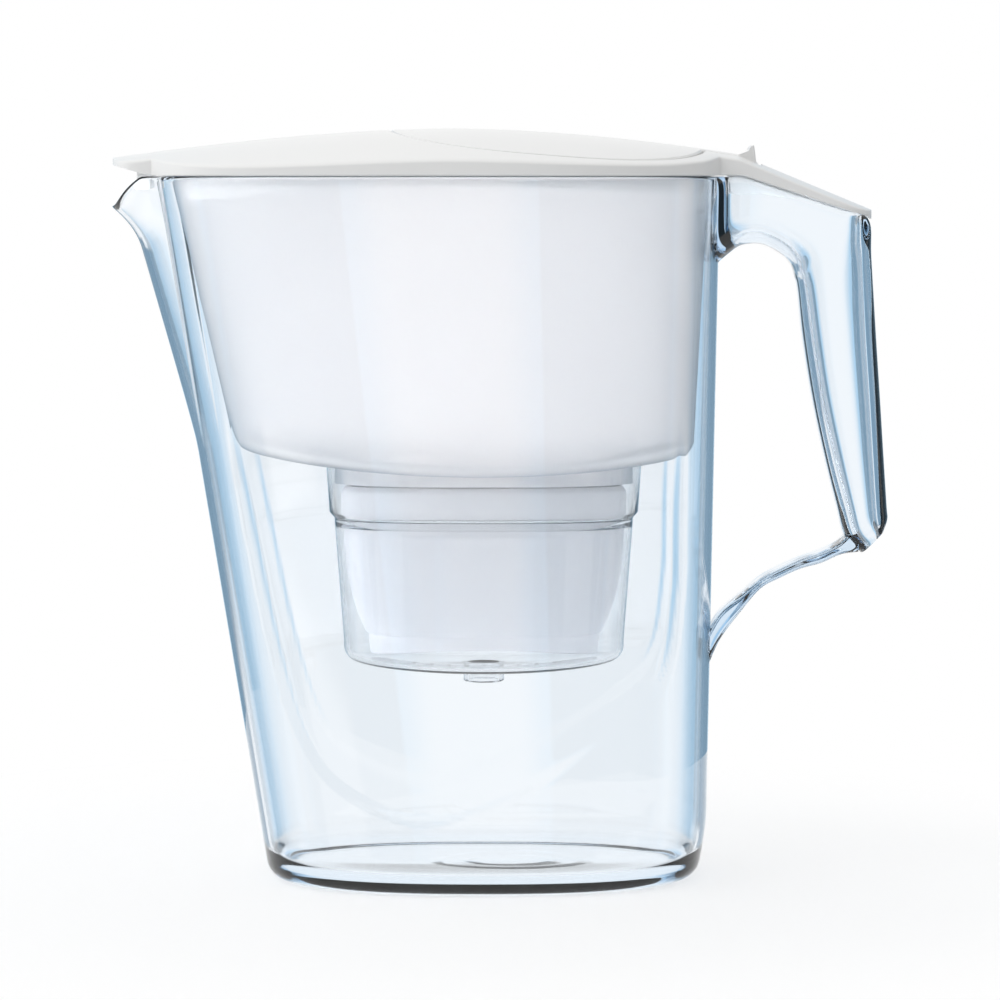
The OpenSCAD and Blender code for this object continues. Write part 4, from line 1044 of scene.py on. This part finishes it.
for name, operation, first, second in (
        ("level_sheet", "MULTIPLY", "sheet", "level"), ("low_corner", "MULTIPLY", "corner", "low"),
        ("below", "MAXIMUM", "low_corner", "steep"), ("round", "MAXIMUM", "overhead", "below"),
        ("plain", "MAXIMUM", "round", "deep"), ("white", "MAXIMUM", "plain", "middle"),
        ("open", "MAXIMUM", "plain", "level_sheet"), ("lit", "MAXIMUM", "open", "mirrored")):
    node = add(tree, "ShaderNodeMath", {"operation": operation, "label": name}, {},
               {0: parts[first], 1: parts[second]})
    parts[name] = node.outputs["Value"]
sheet = add(tree, "ShaderNodeMix", {"data_type": "RGBA"}, {"A": linear("#B6DAF2"), "B": linear("#FFFFFF")},
            {"Factor": parts["white"]})
cards = add(tree, "ShaderNodeMix", {"data_type": "RGBA"}, {"A": linear("#071330")},
            {"Factor": parts["lit"], "B": sheet.outputs["Result"]})
print("Sheets and cards:", len(parts), "parts")

# %% [markdown]
# A matt surface sees an even dome, a little brighter from above, from the left and from behind. Clear walls
# cost it light, since this renderer finds few of the paths through them, so each wall on the way adds to the
# dome. A camera ray sees plain white.

# %% Dome and background
DOME_LEVEL, DOME_TILT, WALL_GAIN, WALLS_MOST = 0.83, (-0.44, 0.31, 0.22), 0.8, 10.0
tilt = add(tree, "ShaderNodeVectorMath", {"operation": "DOT_PRODUCT"}, {}, {0: place.outputs["Generated"]})
tilt.inputs[1].default_value = DOME_TILT
gain = add(tree, "ShaderNodeMapRange", {},
           {"From Max": WALLS_MOST, "To Min": 1.0, "To Max": 1 + WALLS_MOST * WALL_GAIN},
           {"Value": path.outputs["Transmission Depth"]})
even = add(tree, "ShaderNodeMath", {"operation": "ADD"}, {1: DOME_LEVEL}, {0: tilt.outputs["Value"]})
dome = add(tree, "ShaderNodeMath", {"operation": "MULTIPLY"}, {},
           {0: even.outputs["Value"], 1: gain.outputs["Result"]})
seen = add(tree, "ShaderNodeMix", {"data_type": "RGBA"}, {},
           {"Factor": path.outputs["Diffuse Depth"], "A": cards.outputs["Result"],
            "B": dome.outputs["Value"]})
final = add(tree, "ShaderNodeMix", {"data_type": "RGBA"}, {"B": linear("#FFFFFF")},
            {"Factor": path.outputs["Is Camera Ray"], "A": seen.outputs["Result"]})
background = add(tree, "ShaderNodeBackground", {}, {"Strength": 1.0}, {"Color": final.outputs["Result"]})
add(tree, "ShaderNodeOutputWorld", {}, {}, {"Surface": background.outputs["Background"]})
print("World:", len(tree.nodes), "nodes")

# %% [markdown]
# The floor is a pale table top. It keeps the jug's soft shadow, and towards its edge it turns to plain white,
# so that it ends without a line. Light that has come through clear plastic passes the floor and meets the
# world below, so that the sheets and cards run on down to the jug's base.

# %% Floor
FLOOR_R, FLOOR_GAP, SHADOW_R, WHITE_R, WHITE_LEAST = 0.32, 0.0004, 0.14, 0.3, 0.6
work = bmesh.new()
bmesh.ops.create_circle(work, cap_ends=True, segments=128, radius=FLOOR_R)
floor = link_mesh("floor", bpy.data.meshes.new("floor"), work)
floor.location = (0, 0, -FLOOR_GAP)
material, tree, place = empty_material("Pale_table_top")
path = add(tree, "ShaderNodeLightPath")
distance = add(tree, "ShaderNodeVectorMath", {"operation": "LENGTH"}, {}, {0: place})
white = add(tree, "ShaderNodeMapRange", {"interpolation_type": "SMOOTHSTEP"},
            {"From Min": SHADOW_R, "From Max": WHITE_R, "To Min": WHITE_LEAST, "To Max": 1.0},
            {"Value": distance.outputs["Value"]})
direct = add(tree, "ShaderNodeMapRange", {}, {"From Max": 1.0, "To Min": 1.0, "To Max": 0.0},
             {"Value": path.outputs["Diffuse Depth"]})
share = add(tree, "ShaderNodeMath", {"operation": "MULTIPLY"}, {},
            {0: white.outputs["Result"], 1: direct.outputs["Result"]})
passed = add(tree, "ShaderNodeMath", {"operation": "MULTIPLY", "use_clamp": True}, {},
             {0: path.outputs["Transmission Depth"], 1: direct.outputs["Result"]})
matt = add(tree, "ShaderNodeBsdfDiffuse", {}, {"Color": linear("#F8F9FA")})
glow = add(tree, "ShaderNodeEmission", {}, {"Color": linear("#FFFFFF"), "Strength": 1.0})
table = add(tree, "ShaderNodeMixShader", {}, {},
            {0: share.outputs["Value"], 1: matt.outputs["BSDF"], 2: glow.outputs["Emission"]})
clear = add(tree, "ShaderNodeBsdfTransparent")
surface = add(tree, "ShaderNodeMixShader", {}, {},
              {0: passed.outputs["Value"], 1: table.outputs["Shader"], 2: clear.outputs["BSDF"]})
add(tree, "ShaderNodeOutputMaterial", {}, {}, {"Surface": surface.outputs["Shader"]})
floor.data.materials.append(material)
print("Floor radius", FLOOR_R, "m")

# %% [markdown]
# One large softbox overhead, to the left and in front, gives the lid its gentle highlight.

# %% Softbox
lamp = bpy.data.lights.new("softbox", "AREA")
lamp.shape = "DISK"
lamp.size = 1.2
lamp.energy = 4.0
softbox = bpy.data.objects.new("softbox", lamp)
softbox.location = (-0.9, -0.6, 2.2)
softbox.rotation_euler = (-softbox.location).to_track_quat("-Z", "Y").to_euler()
bpy.context.scene.collection.objects.link(softbox)

# %% [markdown]
# The camera stands 1.4 m in front of the jug, level with its rim, and looks slightly down, as in the photo.

# %% Camera
camera_data = bpy.data.cameras.new("camera")
camera_data.lens = 146.4
camera_data.sensor_width = 36.0
camera = bpy.data.objects.new("camera", camera_data)
camera.location = (0.0056, -1.4, 0.242)
aim = Vector((0.0056, 0, 0.1296)) - camera.location
camera.rotation_euler = aim.to_track_quat("-Z", "Y").to_euler()
bpy.context.scene.collection.objects.link(camera)
scene = bpy.context.scene
scene.camera = camera
scene.view_settings.view_transform = "Standard"
scene.cycles.max_bounces = 24
scene.cycles.transmission_bounces = 24
print("Camera looks along", np.round(aim.normalized(), 3))
